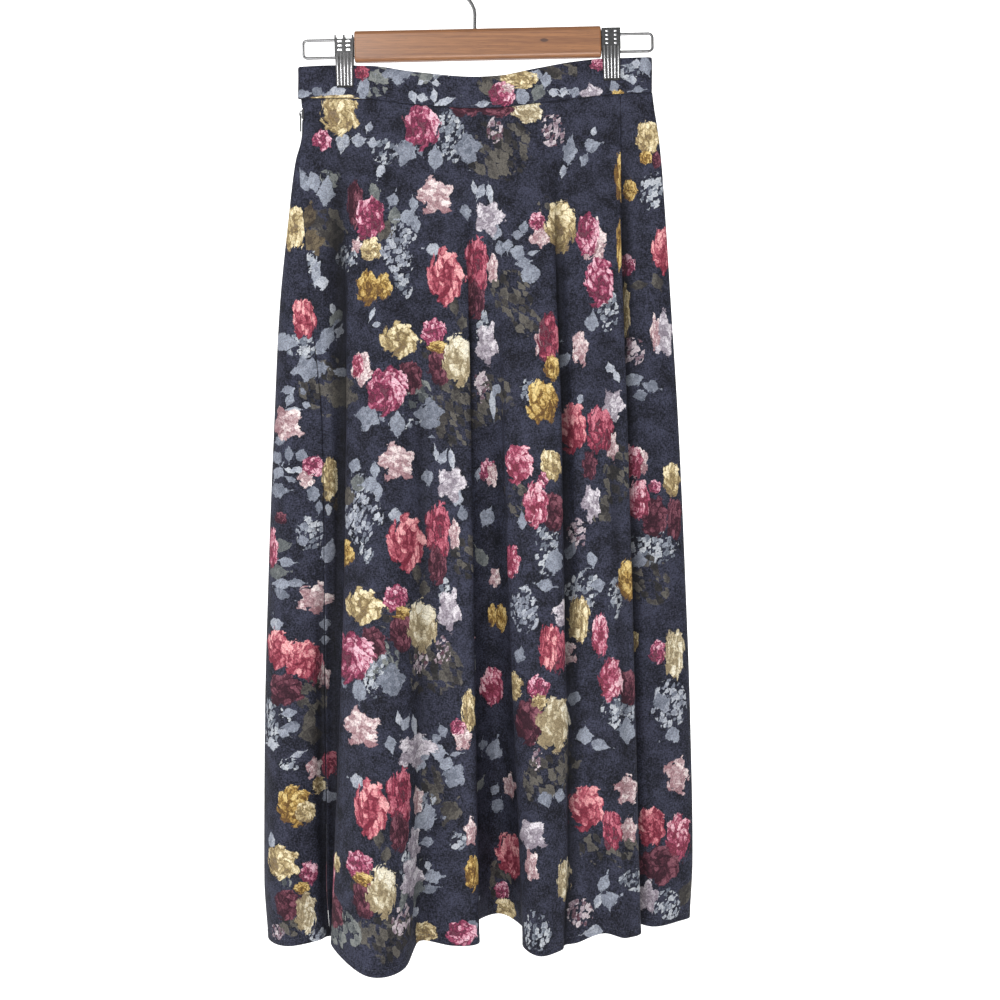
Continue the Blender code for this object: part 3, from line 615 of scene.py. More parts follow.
def bandWalls():
    # The strip folded flat round the waist, open at the left, with a rolled top edge.
    gap = 0.5 * cloth["seamGap"]
    end = cloth["bandEnd"]
    flat, pitch = cloth["bandFlat"], 4
    front = [(x, -bandOut(x, True)) for x in range(-flat, flat + 1, pitch)]
    back = [(x, -bandOut(x, False)) for x in range(flat, -flat - 1, -pitch)]
    # Both ends of the loop: how far in from the band's end, and y.
    turn = ((3.2, -2.5), (1.8, -1.4), (1.2, 0), (1.8, 1.4), (3.2, 2.5))
    opening = ((1.2, gap), (1.6, 1.4), (3.0, 2.4))
    right = [(end - inset, y) for inset, y in turn]
    start = [(-end + inset, -y) for inset, y in opening]
    stop = [(-end + inset, y) for inset, y in reversed(opening)]
    line = np.array(start + front + right + back + stop, float)
    along = np.gradient(line, axis=0)
    normals = np.stack([along[:, 1], -along[:, 0]], axis=1)
    normals /= np.linalg.norm(normals, axis=1, keepdims=True)
    half = 0.5 * cloth["bandShell"]
    # Share of the height, and how far the outer and inner faces stand from the middle there.
    profile = ((0.0, 0.25), (0.01, 0.6), (0.035, 0.9), (0.09, 1.0), (0.2, 0.95), (0.35, 0.9),
               (0.5, 0.92), (0.65, 0.9), (0.8, 0.95), (0.9, 1.0), (0.96, 0.95), (1.0, 0.75))
    sides = []
    for sign in (1, -1):
        rows = []
        for share, swell in profile:
            row = []
            for (x, y), n in zip(line, normals):
                lift = 1.6 * math.cos(0.5 * math.pi * min(abs(x) / 110, 1)) if y > 0 else 0.0
                z = (bandTop(x) + lift) * (1 - share) + waistSeam(x) * share
                ease = 0.25 * math.sin(x / 23.0 + 2.0 * share) * math.sin(math.pi * share)
                out = sign * half * swell + (ease if sign > 0 else 0.0)
                row.append((x + n[0] * out, y + n[1] * out, z))
            rows.append(row)
        sides.append(np.array(rows))
    return sides


# ---- the print: sprays of roses and leaves on a dark heathered ground

# A motif's place, width and height are in thousandths of the front view, as in seenAt. Its kind
# gives a dark, a middle and a light tone.
Motif = namedtuple("Motif", "kind x y wide high")
bloomKinds = {
    "salmon": ((112, 38, 54), (180, 92, 106), (236, 174, 174)),
    "rose": ((104, 34, 54), (172, 86, 110), (236, 196, 204)),
    "magenta": ((84, 28, 50), (160, 74, 103), (236, 192, 205)),
    "crimson": ((76, 26, 42), (146, 60, 80), (204, 124, 138)),
    "burgundy": ((44, 22, 32), (86, 46, 58), (132, 82, 94)),
    "blush": ((142, 104, 110), (184, 158, 161), (236, 222, 220)),
    "lilac": ((124, 114, 126), (163, 155, 164), (222, 216, 222)),
    "cream": ((114, 94, 62), (186, 167, 124), (242, 228, 192)),
    "ivory": ((130, 114, 86), (192, 179, 148), (235, 228, 208)),
    "ochre": ((94, 66, 34), (170, 138, 76), (222, 198, 136)),
}
leafKinds = {
    "slate": ((88, 94, 106), (122, 127, 140), (152, 158, 170)),
    "pale": ((110, 115, 128), (148, 153, 165), (184, 188, 196)),
    "grey": ((70, 74, 76), (98, 102, 103), (130, 133, 130)),
    "taupe": ((36, 35, 35), (64, 61, 59), (98, 94, 87)),
    "brown": ((40, 34, 31), (72, 63, 53), (110, 98, 78)),
    "olive": ((60, 55, 38), (102, 94, 66), (144, 134, 100)),
    "white": ((92, 98, 110), (140, 146, 157), (188, 192, 198)),
    "mini": ((84, 50, 62), (152, 136, 146), (204, 192, 196)),
}
printMake = {
    "repeat": (-38, 266),       # from one spray to the one below it
    "beside": (175, 110),       # and to the one beside it
    "bloomLayers": 3,
    "leafLayers": 3,
    "laceLayers": 2,
    "sprayX": 395,              # what the repeats are counted from
    "sprayRight": 495,          # one repeat of the spray ends here
    "sprayLow": 372,
    "times": 8,                 # repeats tried each way
    "top": 60,                  # and kept where they touch the cloth
    "bottom": 960,
    "fade": 0.5,                # how pale the reverse is
    "foldShade": 0.84,
}
# The ground's two tones, that of its blotches, and what shows through on the reverse.
groundTones = (srgb(16, 17, 24), srgb(59, 61, 78))
blotchTone, reverseTone = srgb(74, 77, 92), srgb(112, 112, 118)
# The near black that is painted into the tucks as shade.
foldShadeTone = (0.002, 0.002, 0.003, 1.0)


def motifs(*runs):
    # Each run is a kind, then the x, y, width and height of its motifs in turn.
    return tuple(Motif(kind, *place) for kind, *places in runs for place in places)


stripBlooms = motifs(
    ("cream", (340, 115, 38, 40)), ("magenta", (323, 140, 20, 22), (421, 125, 38, 44)),
    ("burgundy", (466, 106, 34, 22)), ("ivory", (528, 112, 32, 24)), ("blush", (436, 196, 38, 40)),
    ("lilac", (490, 218, 30, 36)), ("crimson", (476, 265, 24, 56)), ("blush", (493, 268, 12, 30)),
    ("burgundy", (475, 300, 18, 36)), ("salmon", (447, 277, 36, 56)),
    ("burgundy", (355, 205, 16, 46)), ("magenta", (370, 218, 30, 44)),
    ("cream", (371, 250, 20, 24)), ("blush", (357, 245, 12, 16)),
    ("ochre", (368, 287, 24, 34), (384, 287, 16, 26)), ("cream", (401, 340, 38, 36)),
    ("burgundy", (440, 366, 26, 40)), ("magenta", (434, 332, 24, 26)),
    ("ochre", (438, 347, 22, 12)), ("ivory", (458, 360, 32, 50)), ("lilac", (487, 345, 24, 44)),
    ("burgundy", (410, 378, 26, 34)), ("blush", (362, 368, 20, 36)), ("rose", (358, 366, 12, 24)),
    ("magenta", (389, 388, 38, 44)),
)
stripLeaves = motifs(
    ("slate", (405, 153, 20, 22), (435, 157, 14, 22), (468, 150, 24, 26)),
    ("pale", (342, 143, 12, 18), (369, 127, 7, 9), (359, 140, 12, 12), (372, 143, 9, 9),
      (381, 170, 8, 14)),
    ("slate", (420, 152, 5, 8), (304, 180, 11, 20), (314, 183, 12, 18), (326, 190, 14, 26)),
    ("grey", (375, 193, 10, 18)), ("slate", (393, 199, 11, 13), (413, 205, 9, 13)),
    ("grey", (395, 216, 12, 16)), ("slate", (407, 218, 14, 14), (416, 225, 8, 16)),
    ("pale", (434, 250, 14, 12)), ("slate", (466, 212, 10, 14)),
    ("pale", (474, 187, 5, 12), (481, 191, 8, 13), (490, 195, 6, 20)),
    ("taupe", (385, 230, 14, 18), (333, 232, 16, 26)),
    ("brown", (309, 215, 12, 24), (312, 240, 18, 22)),
    ("pale", (316, 275, 8, 24), (321, 283, 12, 12)), ("grey", (334, 318, 8, 16)),
    ("pale", (332, 309, 5, 10), (337, 332, 7, 10)),
    ("slate", (326, 338, 12, 32), (312, 368, 22, 22)),
    ("pale", (376, 325, 8, 5), (372, 315, 4, 12)), ("taupe", (455, 308, 9, 16), (462, 322, 9, 14)),
    ("pale", (340, 372, 10, 8)), ("taupe", (345, 392, 18, 34)), ("pale", (496, 232, 10, 14)),
    ("slate", (500, 247, 9, 14)),
)
stripLace = motifs(
    ("taupe", (500, 150, 60, 54)), ("mini", (495, 130, 14, 24)), ("white", (450, 135, 24, 52)),
    ("mini", (553, 130, 22, 34)), ("white", (385, 150, 26, 26)),
    ("pale", (400, 245, 30, 62), (386, 252, 12, 28)), ("white", (346, 258, 20, 26)),
    ("taupe", (325, 228, 40, 40)), ("white", (312, 262, 14, 22)), ("taupe", (470, 400, 60, 50)),
    ("mini", (480, 386, 16, 30)), ("grey", (414, 395, 40, 36)), ("taupe", (505, 290, 28, 44)),
    ("white", (404, 284, 16, 26), (483, 330, 12, 34)), ("taupe", (440, 352, 40, 26)),
    ("grey", (330, 178, 20, 16)), ("taupe", (300, 352, 30, 40)), ("white", (308, 350, 24, 18)),
)
rightBlooms = motifs(
    ("burgundy", (496, 108, 40, 18)), ("blush", (540, 236, 20, 26)),
    ("magenta", (537, 222, 16, 18)), ("cream", (560, 226, 30, 48)), ("blush", (594, 240, 26, 44)),
    ("magenta", (588, 234, 22, 42), (600, 282, 30, 52)),
    ("ochre", (621, 178, 12, 52), (630, 190, 14, 22)), ("cream", (648, 137, 24, 34)),
    ("burgundy", (656, 160, 10, 16)), ("ochre", (646, 158, 12, 14)), ("salmon", (662, 250, 20, 46)),
    ("magenta", (628, 265, 14, 22)), ("cream", (627, 310, 9, 50)), ("ochre", (619, 245, 5, 50)),
    ("lilac", (663, 335, 24, 50)), ("blush", (655, 332, 10, 36), (541, 342, 14, 34)),
    ("crimson", (549, 338, 22, 48)), ("ochre", (552, 368, 16, 26)), ("blush", (580, 348, 18, 38)),
    ("ochre", (542, 402, 30, 44)), ("rose", (519, 464, 30, 40)), ("cream", (551, 465, 22, 34)),
    ("magenta", (543, 480, 10, 16)), ("burgundy", (553, 512, 26, 40)),
    ("rose", (536, 505, 24, 46), (512, 562, 16, 34)), ("ochre", (502, 618, 12, 28)),
    ("lilac", (563, 612, 14, 30)), ("blush", (567, 655, 12, 30)), ("crimson", (558, 650, 18, 44)),
    ("salmon", (549, 648, 20, 46)), ("magenta", (538, 688, 22, 24)), ("cream", (514, 685, 14, 28)),
    ("burgundy", (528, 722, 32, 42)), ("cream", (540, 702, 16, 14)), ("ivory", (557, 724, 36, 50)),
    ("blush", (510, 785, 14, 28)), ("lilac", (530, 835, 26, 32)), ("blush", (531, 866, 14, 34)),
    ("salmon", (513, 856, 24, 46)), ("cream", (508, 908, 22, 22)), ("magenta", (503, 890, 14, 18)),
    ("lilac", (613, 405, 22, 34)), ("salmon", (574, 428, 26, 52)), ("blush", (613, 447, 12, 30)),
    ("crimson", (600, 430, 26, 46)), ("burgundy", (590, 465, 16, 30)),
    ("lilac", (592, 503, 20, 36)), ("cream", (580, 620, 20, 46)), ("ochre", (629, 580, 18, 40)),
    ("rose", (600, 635, 16, 42)), ("cream", (633, 640, 12, 26)), ("burgundy", (630, 688, 18, 36)),
    ("rose", (611, 680, 24, 42)), ("blush", (628, 790, 24, 30)), ("crimson", (612, 830, 20, 42)),
    ("salmon", (588, 808, 32, 46)), ("blush", (630, 830, 18, 28)), ("ivory", (566, 880, 18, 42)),
    ("blush", (640, 462, 18, 36)), ("rose", (633, 462, 18, 34)), ("cream", (672, 480, 18, 36)),
    ("magenta", (655, 487, 12, 14)), ("burgundy", (655, 517, 28, 42)), ("rose", (640, 500, 18, 40)),
    ("burgundy", (675, 520, 16, 42)), ("magenta", (658, 652, 18, 22)),
    ("ivory", (675, 655, 20, 50)), ("blush", (678, 775, 26, 38)), ("burgundy", (662, 864, 42, 42)),
    ("salmon", (652, 826, 26, 40)), ("rose", (679, 836, 26, 42)), ("lilac", (648, 897, 18, 36)),
    ("rose", (492, 686, 28, 40)), ("cream", (469, 712, 14, 40)), ("blush", (463, 738, 18, 26)),
    ("magenta", (458, 727, 16, 16)), ("blush", (471, 832, 12, 28)), ("ochre", (473, 872, 16, 34)),
    ("magenta", (462, 933, 30, 24)), ("cream", (425, 932, 24, 20)), ("magenta", (487, 470, 16, 22)),
    ("blush", (493, 475, 12, 24)), ("ochre", (492, 615, 10, 24)), ("blush", (496, 578, 12, 22)),
    ("lilac", (413, 842, 16, 34)),
)
rightLeaves = motifs(
    ("slate", (570, 150, 12, 26), (592, 145, 14, 13)), ("pale", (594, 131, 6, 8)),
    ("slate", (584, 161, 8, 11)), ("pale", (563, 172, 6, 12)),
    ("slate", (524, 227, 9, 11), (517, 235, 10, 9), (508, 246, 9, 11), (517, 252, 14, 14),
      (523, 263, 12, 12), (530, 273, 17, 19)),
    ("pale", (533, 253, 9, 5)), ("slate", (592, 322, 12, 16)),
    ("taupe", (640, 285, 14, 9), (657, 281, 10, 14)),
    ("slate", (632, 380, 18, 12), (650, 386, 14, 12), (640, 395, 12, 10)),
    ("pale", (610, 367, 8, 10), (616, 375, 6, 12)),
    ("slate", (560, 342, 8, 12), (565, 360, 8, 14), (555, 560, 16, 22), (628, 730, 14, 22),
      (585, 735, 14, 16), (600, 745, 16, 12), (604, 882, 10, 18), (612, 898, 14, 12)),
    ("pale", (598, 900, 8, 14)), ("taupe", (686, 894, 12, 22)),
    ("slate", (443, 731, 9, 11), (437, 738, 8, 8), (433, 747, 9, 10), (438, 753, 14, 14),
      (447, 763, 12, 14)),
    ("pale", (455, 754, 10, 5)), ("slate", (455, 776, 19, 20), (425, 742, 8, 9), (424, 757, 8, 11)),
    ("taupe", (450, 812, 18, 20)),
    ("slate", (421, 822, 24, 16), (430, 812, 10, 16), (427, 842, 10, 10)),
    ("pale", (428, 866, 6, 9)), ("slate", (432, 877, 17, 12), (430, 889, 13, 9)),
    ("grey", (406, 890, 7, 32), (416, 888, 9, 32)), ("pale", (415, 912, 8, 9)),
    ("slate", (473, 927, 10, 12), (487, 518, 14, 18), (478, 475, 6, 12)),
    ("grey", (480, 556, 10, 20)), ("slate", (494, 749, 16, 18), (482, 745, 8, 10)),
    ("grey", (479, 785, 7, 12)), ("slate", (494, 790, 8, 12), (497, 806, 12, 14)),
    ("pale", (493, 405, 6, 24)),
    ("slate", (497, 390, 8, 12), (522, 520, 8, 16), (575, 700, 10, 14), (520, 655, 10, 14),
      (640, 560, 12, 14), (545, 585, 14, 12), (592, 560, 10, 14), (598, 585, 12, 12),
      (660, 700, 14, 16), (672, 735, 14, 14), (572, 550, 8, 16)),
    ("pale", (580, 400, 6, 10)), ("slate", (545, 800, 12, 14), (560, 795, 10, 12)),
    ("pale", (592, 932, 16, 12)), ("slate", (606, 898, 10, 22)),
)
rightLace = motifs(
    ("taupe", (545, 208, 16, 22)), ("white", (608, 312, 20, 38), (652, 190, 22, 38)),
    ("taupe", (516, 295, 30, 50), (527, 322, 26, 26)), ("mini", (633, 352, 22, 24)),
    ("white", (548, 545, 24, 56)), ("pale", (523, 610, 26, 44)), ("taupe", (545, 778, 44, 46)),
    ("mini", (536, 756, 12, 24)), ("taupe", (618, 470, 26, 60)), ("mini", (577, 535, 16, 32)),
    ("white", (620, 710, 32, 34)), ("taupe", (625, 852, 30, 34)), ("mini", (582, 913, 20, 26)),
    ("white", (655, 548, 42, 34)), ("taupe", (650, 582, 42, 50)), ("pale", (670, 705, 32, 44)),
    ("taupe", (432, 786, 24, 40)), ("white", (423, 800, 24, 20), (458, 840, 20, 20)),
    ("taupe", (565, 760, 24, 40), (518, 500, 20, 30)), ("white", (585, 590, 30, 40)),
    ("taupe", (590, 850, 22, 30)), ("white", (640, 880, 26, 24)),
    ("taupe", (500, 880, 24, 40), (604, 510, 22, 30)),
    ("white", (530, 390, 20, 24), (616, 600, 16, 40), (534, 930, 24, 36), (668, 904, 30, 28)),
)
wrapBlooms = motifs(
    ("cream", (293, 228, 24, 46)), ("salmon", (304, 318, 24, 42)),
    ("blush", (285, 424, 30, 36), (306, 478, 18, 20)), ("magenta", (313, 466, 22, 20)),
    ("cream", (330, 478, 16, 44)), ("burgundy", (281, 518, 12, 12)), ("rose", (273, 548, 12, 42)),
    ("blush", (315, 598, 37, 32), (324, 677, 14, 26)), ("crimson", (314, 664, 18, 38)),
    ("burgundy", (283, 690, 36, 32)), ("salmon", (302, 660, 36, 38), (277, 649, 27, 42)),
    ("crimson", (329, 765, 12, 26)), ("blush", (315, 768, 19, 24)), ("cream", (320, 786, 15, 18)),
    ("ochre", (294, 806, 38, 38)), ("cream", (306, 812, 20, 22), (280, 863, 31, 32)),
    ("burgundy", (286, 905, 28, 32)), ("magenta", (309, 873, 19, 22)),
    ("ochre", (302, 888, 16, 12)), ("ivory", (306, 913, 22, 38)), ("rose", (333, 876, 9, 46)),
    ("cream", (337, 862, 10, 18)),
)
wrapLeaves = motifs(
    ("slate", (284, 342, 20, 16), (305, 369, 22, 22), (287, 390, 12, 8), (290, 399, 8, 12),
      (303, 391, 5, 7), (307, 405, 8, 6)),
    ("pale", (293, 410, 13, 6)),
    ("slate", (279, 441, 9, 9), (289, 455, 8, 13), (302, 456, 11, 11), (277, 458, 10, 12),
      (278, 472, 9, 12)),
    ("pale", (290, 471, 9, 5), (299, 470, 13, 6)),
    ("slate", (290, 479, 11, 5), (277, 490, 14, 13), (313, 493, 12, 14), (319, 508, 6, 12)),
    ("pale", (328, 510, 5, 10)), ("slate", (305, 527, 8, 8), (303, 541, 9, 10), (328, 552, 13, 20)),
    ("grey", (282, 545, 16, 12)), ("slate", (287, 562, 13, 9)), ("grey", (276, 572, 14, 13)),
    ("slate", (281, 584, 15, 11), (295, 583, 15, 8), (282, 594, 15, 9)),
    ("pale", (276, 625, 10, 12)),
    ("slate", (325, 625, 9, 10), (326, 640, 8, 8), (290, 713, 13, 8), (291, 727, 15, 10)),
    ("pale", (272, 744, 10, 10), (283, 733, 10, 7), (272, 840, 6, 14)),
    ("taupe", (309, 722, 12, 26), (311, 735, 20, 16)), ("pale", (298, 754, 12, 6)),
    ("slate", (329, 797, 10, 12)),
)
wrapLace = motifs(
    ("white", (300, 345, 32, 24)), ("taupe", (315, 385, 30, 44)), ("white", (310, 532, 26, 34)),
    ("taupe", (312, 697, 30, 36)), ("white", (272, 722, 22, 40)), ("taupe", (290, 928, 26, 22)),
    ("mini", (277, 932, 12, 14)), ("grey", (284, 882, 14, 14)),
    ("white", (318, 934, 18, 12), (290, 764, 20, 12)), ("taupe", (328, 388, 24, 60)),
    ("brown", (330, 500, 14, 30)),
)
bandBlooms = motifs(
    ("crimson", (362, 72, 16, 16)), ("cream", (518, 78, 38, 20)), ("magenta", (503, 94, 26, 24)),
    ("ochre", (618, 98, 14, 16)), ("magenta", (598, 64, 16, 13)), ("lilac", (592, 94, 24, 20)),
    ("cream", (336, 100, 48, 10)), ("blush", (508, 88, 14, 10)),
)
bandLeaves = motifs(
    ("slate", (364, 87, 12, 22), (397, 73, 24, 18)), ("grey", (426, 76, 14, 14)),
    ("pale", (420, 83, 6, 5), (435, 83, 7, 6), (413, 97, 8, 12), (423, 98, 11, 7), (434, 95, 7, 12),
      (446, 101, 18, 7)),
    ("slate", (318, 92, 12, 9)), ("pale", (335, 93, 20, 10)),
    ("slate", (303, 94, 11, 8), (522, 96, 12, 16)), ("grey", (538, 93, 12, 16)),
    ("slate", (535, 75, 12, 10), (547, 79, 10, 14)), ("pale", (554, 93, 9, 8), (564, 92, 8, 7)),
    ("slate", (574, 92, 10, 9), (614, 86, 9, 10), (607, 103, 10, 9), (646, 67, 10, 18)),
    ("pale", (636, 63, 8, 7), (632, 80, 9, 7)), ("slate", (638, 90, 9, 8)),
    ("pale", (482, 104, 12, 7)), ("taupe", (488, 76, 12, 12), (555, 72, 16, 10)),
)
bandLace = motifs(
    ("grey", (380, 78, 20, 24)), ("white", (628, 71, 26, 16)),
    ("taupe", (492, 84, 30, 20), (560, 72, 34, 16)), ("white", (440, 74, 24, 12)),
    ("grey", (374, 92, 20, 10)),
)

Layers = namedtuple("Layers", "name count kinds")
layerSets = (
    Layers("lace", printMake["laceLayers"], tuple(leafKinds)),
    Layers("leaf", printMake["leafLayers"], tuple(leafKinds)),
    Layers("bloom", printMake["bloomLayers"], tuple(bloomKinds)),
)


class PrintedPiece:
    # A piece's grid of points, with what the print needs to lie on it.
    def __init__(self, name, grid):
        self.name, self.grid = name, grid
        self.viewX, self.viewY = seenAt(grid)
        steps = np.linalg.norm(np.diff(grid, axis=1), axis=2)
        self.along = np.concatenate([np.zeros((len(grid), 1)), np.cumsum(steps, axis=1)], axis=1)
        self.seen = np.zeros(grid.shape[:2], bool)
        quads = (grid.shape[0] - 1) * (grid.shape[1] - 1)
        self.places, self.looks, self.used = {}, {}, {}
        for layers in layerSets:
            self.places[layers.name] = np.full((layers.count, quads, 4, 3), (9, 9, 0), np.float32)
            self.looks[layers.name] = np.zeros((layers.count, quads, 3), np.float32)
            self.used[layers.name] = np.zeros(quads, int)

    def column(self, row, near, viewX):
        # Where the row passes a place in the view, nearest to a column.
        first, last = max(int(near) - 7, 0), min(int(near) + 8, self.grid.shape[1] - 1)
        gap = self.viewX[row, first:last + 1] - viewX
        turns = np.nonzero(gap[:-1] * gap[1:] <= 0)[0]
        if len(turns) == 0:
            return float(first + np.argmin(np.abs(gap)))
        at = turns[np.argmin(np.abs(turns + first - near))]
        return first + at + gap[at] / (gap[at] - gap[at + 1] + 1e-9)

    def lay(self, layers, rows, a, b, look, hidden=None):
        # Writes a motif's own coordinates on the faces that it touches.
        r0, r1 = rows
        near = a ** 2 + b ** 2 < 1.7    # a little past the motif's ragged edge
        touched = near[:-1, :-1] | near[:-1, 1:] | near[1:, :-1] | near[1:, 1:]
        if hidden is not None:
            touched &= hidden[r0:r1]
        across = self.grid.shape[1] - 1
        i, j = np.nonzero(touched)
        if len(i) == 0:
            return
        quad = (i + r0) * across + j
        corner = np.stack([np.stack([m[i, j], m[i + 1, j], m[i + 1, j + 1], m[i, j + 1]], axis=1)
                           for m in (a, b)], axis=2)
        used = self.used[layers.name]
        for layer in range(layers.count):
            mine = used[quad] == layer
            self.places[layers.name][layer, quad[mine], :, :2] = corner[mine]
            self.places[layers.name][layer, quad[mine], :, 2] = look[3]
            self.looks[layers.name][layer, quad[mine]] = look[:3]
        used[quad] += 1


def lookOf(layers, motif, chance):
    # A motif's kind, a value for its make and a value for its seed, and its half size.
    kind = layers.kinds.index(motif.kind)
    size = 0.25 * (motif.wide + motif.high)
    if layers.name == "bloom":
        petals = 5 if motif.kind in ("blush", "lilac") else 7    # five petals lie open
        return kind, chance.uniform(-0.4, 1.9), petals + chance.uniform(0.05, 0.95), 10 / size
    if layers.name == "lace":
        bold = 0.0 if motif.kind in ("taupe", "brown", "grey") else 1.0
        return kind, bold, chance.random(), 10 / size
    return kind, chance.uniform(-1, 1), chance.random(), 10 / size


def turned(layers, motif, a, b, chance):
    # A leaf lies along its longer side, at a slant.
    if layers.name != "leaf":
        return a * 2 / motif.wide, b * 2 / motif.high
    lean = math.radians((90 if motif.high > motif.wide else 0) + chance.uniform(-28, 28))
    longer, shorter = max(motif.wide, motif.high), min(motif.wide, motif.high)
    u = a * math.cos(lean) + b * math.sin(lean)
    v = b * math.cos(lean) - a * math.sin(lean)
    flip = 1 if chance.random() > 0.5 else -1
    return flip * u * 2 / (longer * 1.28), v * 2 / (shorter * 1.06)


def markSeen(pieces):
    # Which points show from the front: the nearest of all pieces, row by row, in half steps of
    # the view, and facing it.
    steps, behind, aside = 2400, 5.0, 0.12
    for row in range(len(pieces[0].grid)):
        nearest = np.full(steps, 1e9)
        for piece in pieces:
            x, y = piece.viewX[row] * 2, piece.grid[row, :, 1]
            for k in range(len(x) - 1):
                low, high = sorted((x[k], x[k + 1]))
                bins = slice(int(low), int(high) + 2)
                nearest[bins] = np.minimum(nearest[bins], max(y[k], y[k + 1]))
        for piece in pieces:
            bins = np.clip(piece.viewX[row] * 2, 0, steps - 1).astype(int)
            piece.seen[row] = piece.grid[row, :, 1] < nearest[bins] + behind
    for piece in pieces:
        piece.seen &= meshNormals(piece.grid)[..., 1] < aside


def layInView(pieces, layers, motifs, shift=(0, 0), reach=9.0, limit=None):
    # Lays motifs on what the front view shows at their places.
    for number, motif in enumerate(motifs):
        viewX, viewY = motif.x + shift[0], motif.y + shift[1]
        if limit and not limit(viewX, viewY):
            continue
        chance = random.Random(f"{motif.kind}{motif.x}{motif.y}")
        best = None
        for piece in pieces:
            away = np.hypot(piece.viewX - viewX, piece.viewY - viewY) + 1e6 * ~piece.seen
            at = np.unravel_index(np.argmin(away), away.shape)
            if best is None or away[at] < best[0]:
                best = (away[at], piece, at)
        if best[0] > reach:
            continue
        _, piece, (row, column) = best
        layOne(piece, layers, motif, viewX, viewY, row, column, chance)


def layOne(piece, layers, motif, viewX, viewY, row, column, chance):
    grid = piece.grid
    depth = (grid[row, column, 1] + eye["away"]) / eye["away"]
    height = eye["z"] - (viewY - eye["middleY"]) * depth
    left, right = max(column - 3, 0), min(column + 3, grid.shape[1] - 1)
    run = piece.along[row, right] - piece.along[row, left]
    share = abs(piece.viewX[row, right] - piece.viewX[row, left]) * depth / max(run, 0.1)
    share = min(max(share, 0.5), 1.0)
    half = 0.72 * max(motif.wide / share, motif.high) + 3
    rows = np.nonzero(np.abs(grid[:, column, 2] - height) < half)[0]
    if len(rows) < 2:
        return
    first, last = rows[0], rows[-1]
    crossing = {}
    for order in (range(row, last + 1), range(row, first - 1, -1)):
        near = column
        for r in order:
            near = piece.column(r, near, viewX)
            crossing[r] = near
    for r in range(first, last + 1):
        crossing.setdefault(r, crossing.get(row, column))
    columns = np.arange(grid.shape[1])
    middle = np.array([np.interp(crossing[r], columns, piece.along[r])
                       for r in range(first, last + 1)])
    a = (piece.along[first:last + 1] - middle[:, None]) * share / depth
    if column in (0, grid.shape[1] - 1):
        a -= viewX - piece.viewX[row, column]
    b = (grid[first:last + 1, :, 2] - height) / depth
    if piece.viewX[row, right] < piece.viewX[row, left]:
        a = -a
    u, v = turned(layers, motif, a, b, chance)
    piece.lay(layers, (first, last), u, v, lookOf(layers, motif, chance))


def layOnCloth(piece, layers, motifs, zero):
    # Lays the same sprays over what the front view doesn't show, along the cloth itself.
    seen = piece.seen
    hidden = ~(seen[:-1, :-1] | seen[1:, 1:] | seen[:-1, 1:] | seen[1:, :-1])
    u = piece.along - piece.along[:, zero][:, None]
    v = eye["z"] + eye["middleY"] - piece.grid[..., 2]
    low, high = u.min(), u.max()
    downStep, sideStep, times = printMake["repeat"], printMake["beside"], printMake["times"]
    for motif in motifs:
        if motif.x > printMake["sprayRight"] or motif.y > printMake["sprayLow"]:
            continue
        for i in range(-times, times + 1):
            for n in range(-times, times + 1):
                x = motif.x - printMake["sprayX"] + i * sideStep[0] + n * downStep[0]
                y = motif.y + i * sideStep[1] + n * downStep[1]
                across = low - 30 < x < high + 30
                if not (across and printMake["top"] < y < printMake["bottom"]):
                    continue
                chance = random.Random(f"{motif.kind}{motif.x}{motif.y}")
                half = 0.7 * max(motif.wide, motif.high) + 3
                rows = np.nonzero(np.abs(v - y).min(axis=1) < half)[0]
                if len(rows) < 2:
                    continue
                first, last = rows[0], rows[-1]
                a, b = turned(layers, motif, u[first:last + 1] - x, y - v[first:last + 1], chance)
                if not (a ** 2 + b ** 2 < 1).any():
                    continue
                piece.lay(layers, (first, last), a, b, lookOf(layers, motif, chance), hidden)


def writePrint(piece, obj):
    # Keeps the print's coordinates on the mesh, on both faces of the cloth.
    rows, cols = piece.grid.shape[:2]
    quads = (rows - 1) * (cols - 1)
    faces = len(obj.data.polygons)
    for layers in layerSets:
        for layer in range(layers.count):
            place = np.full((faces, 4, 3), (9, 9, 0), np.float32)
            place[:quads] = piece.places[layers.name][layer]
            place[quads:2 * quads] = piece.places[layers.name][layer][:, (0, 3, 2, 1)]
            look = np.zeros((faces, 3), np.float32)
            look[:quads] = look[quads:2 * quads] = piece.looks[layers.name][layer]
            name = f"{layers.name}{layer}"
            made = obj.data.attributes.new(name + "Place", "FLOAT_VECTOR", "CORNER")
            made.data.foreach_set("vector", place.ravel())
            made = obj.data.attributes.new(name + "Look", "FLOAT_VECTOR", "FACE")
            made.data.foreach_set("vector", look.ravel())


def kindStops(kinds):
    stops = []
    for number, tones in enumerate(kinds.values()):
        for share, tone in zip((0.06, 0.5, 0.94), tones):
            stops.append(((number + share) / len(kinds), srgb(*tone)))
    return stops


# What the layers of the print share: two noises, a ragged shift, and two sets of small cells.
Texture = namedtuple("Texture", "mottle strokes warpX warpY coarse fine")


def shards(paint, place, lean, size):
    # Small pointed cells: how far from the middle of one, and two values of its own.
    turned = paint.add("ShaderNodeVectorRotate", {"rotation_type": "Y_AXIS"}, {
        "Vector": place, "Angle": lean})
    near = paint.cells(paint.vector("MULTIPLY", turned, size), distance="MANHATTAN")
    pick, hue, _ = paint.parts(paint.output(near, 1))
    return near * 0.55, pick, hue


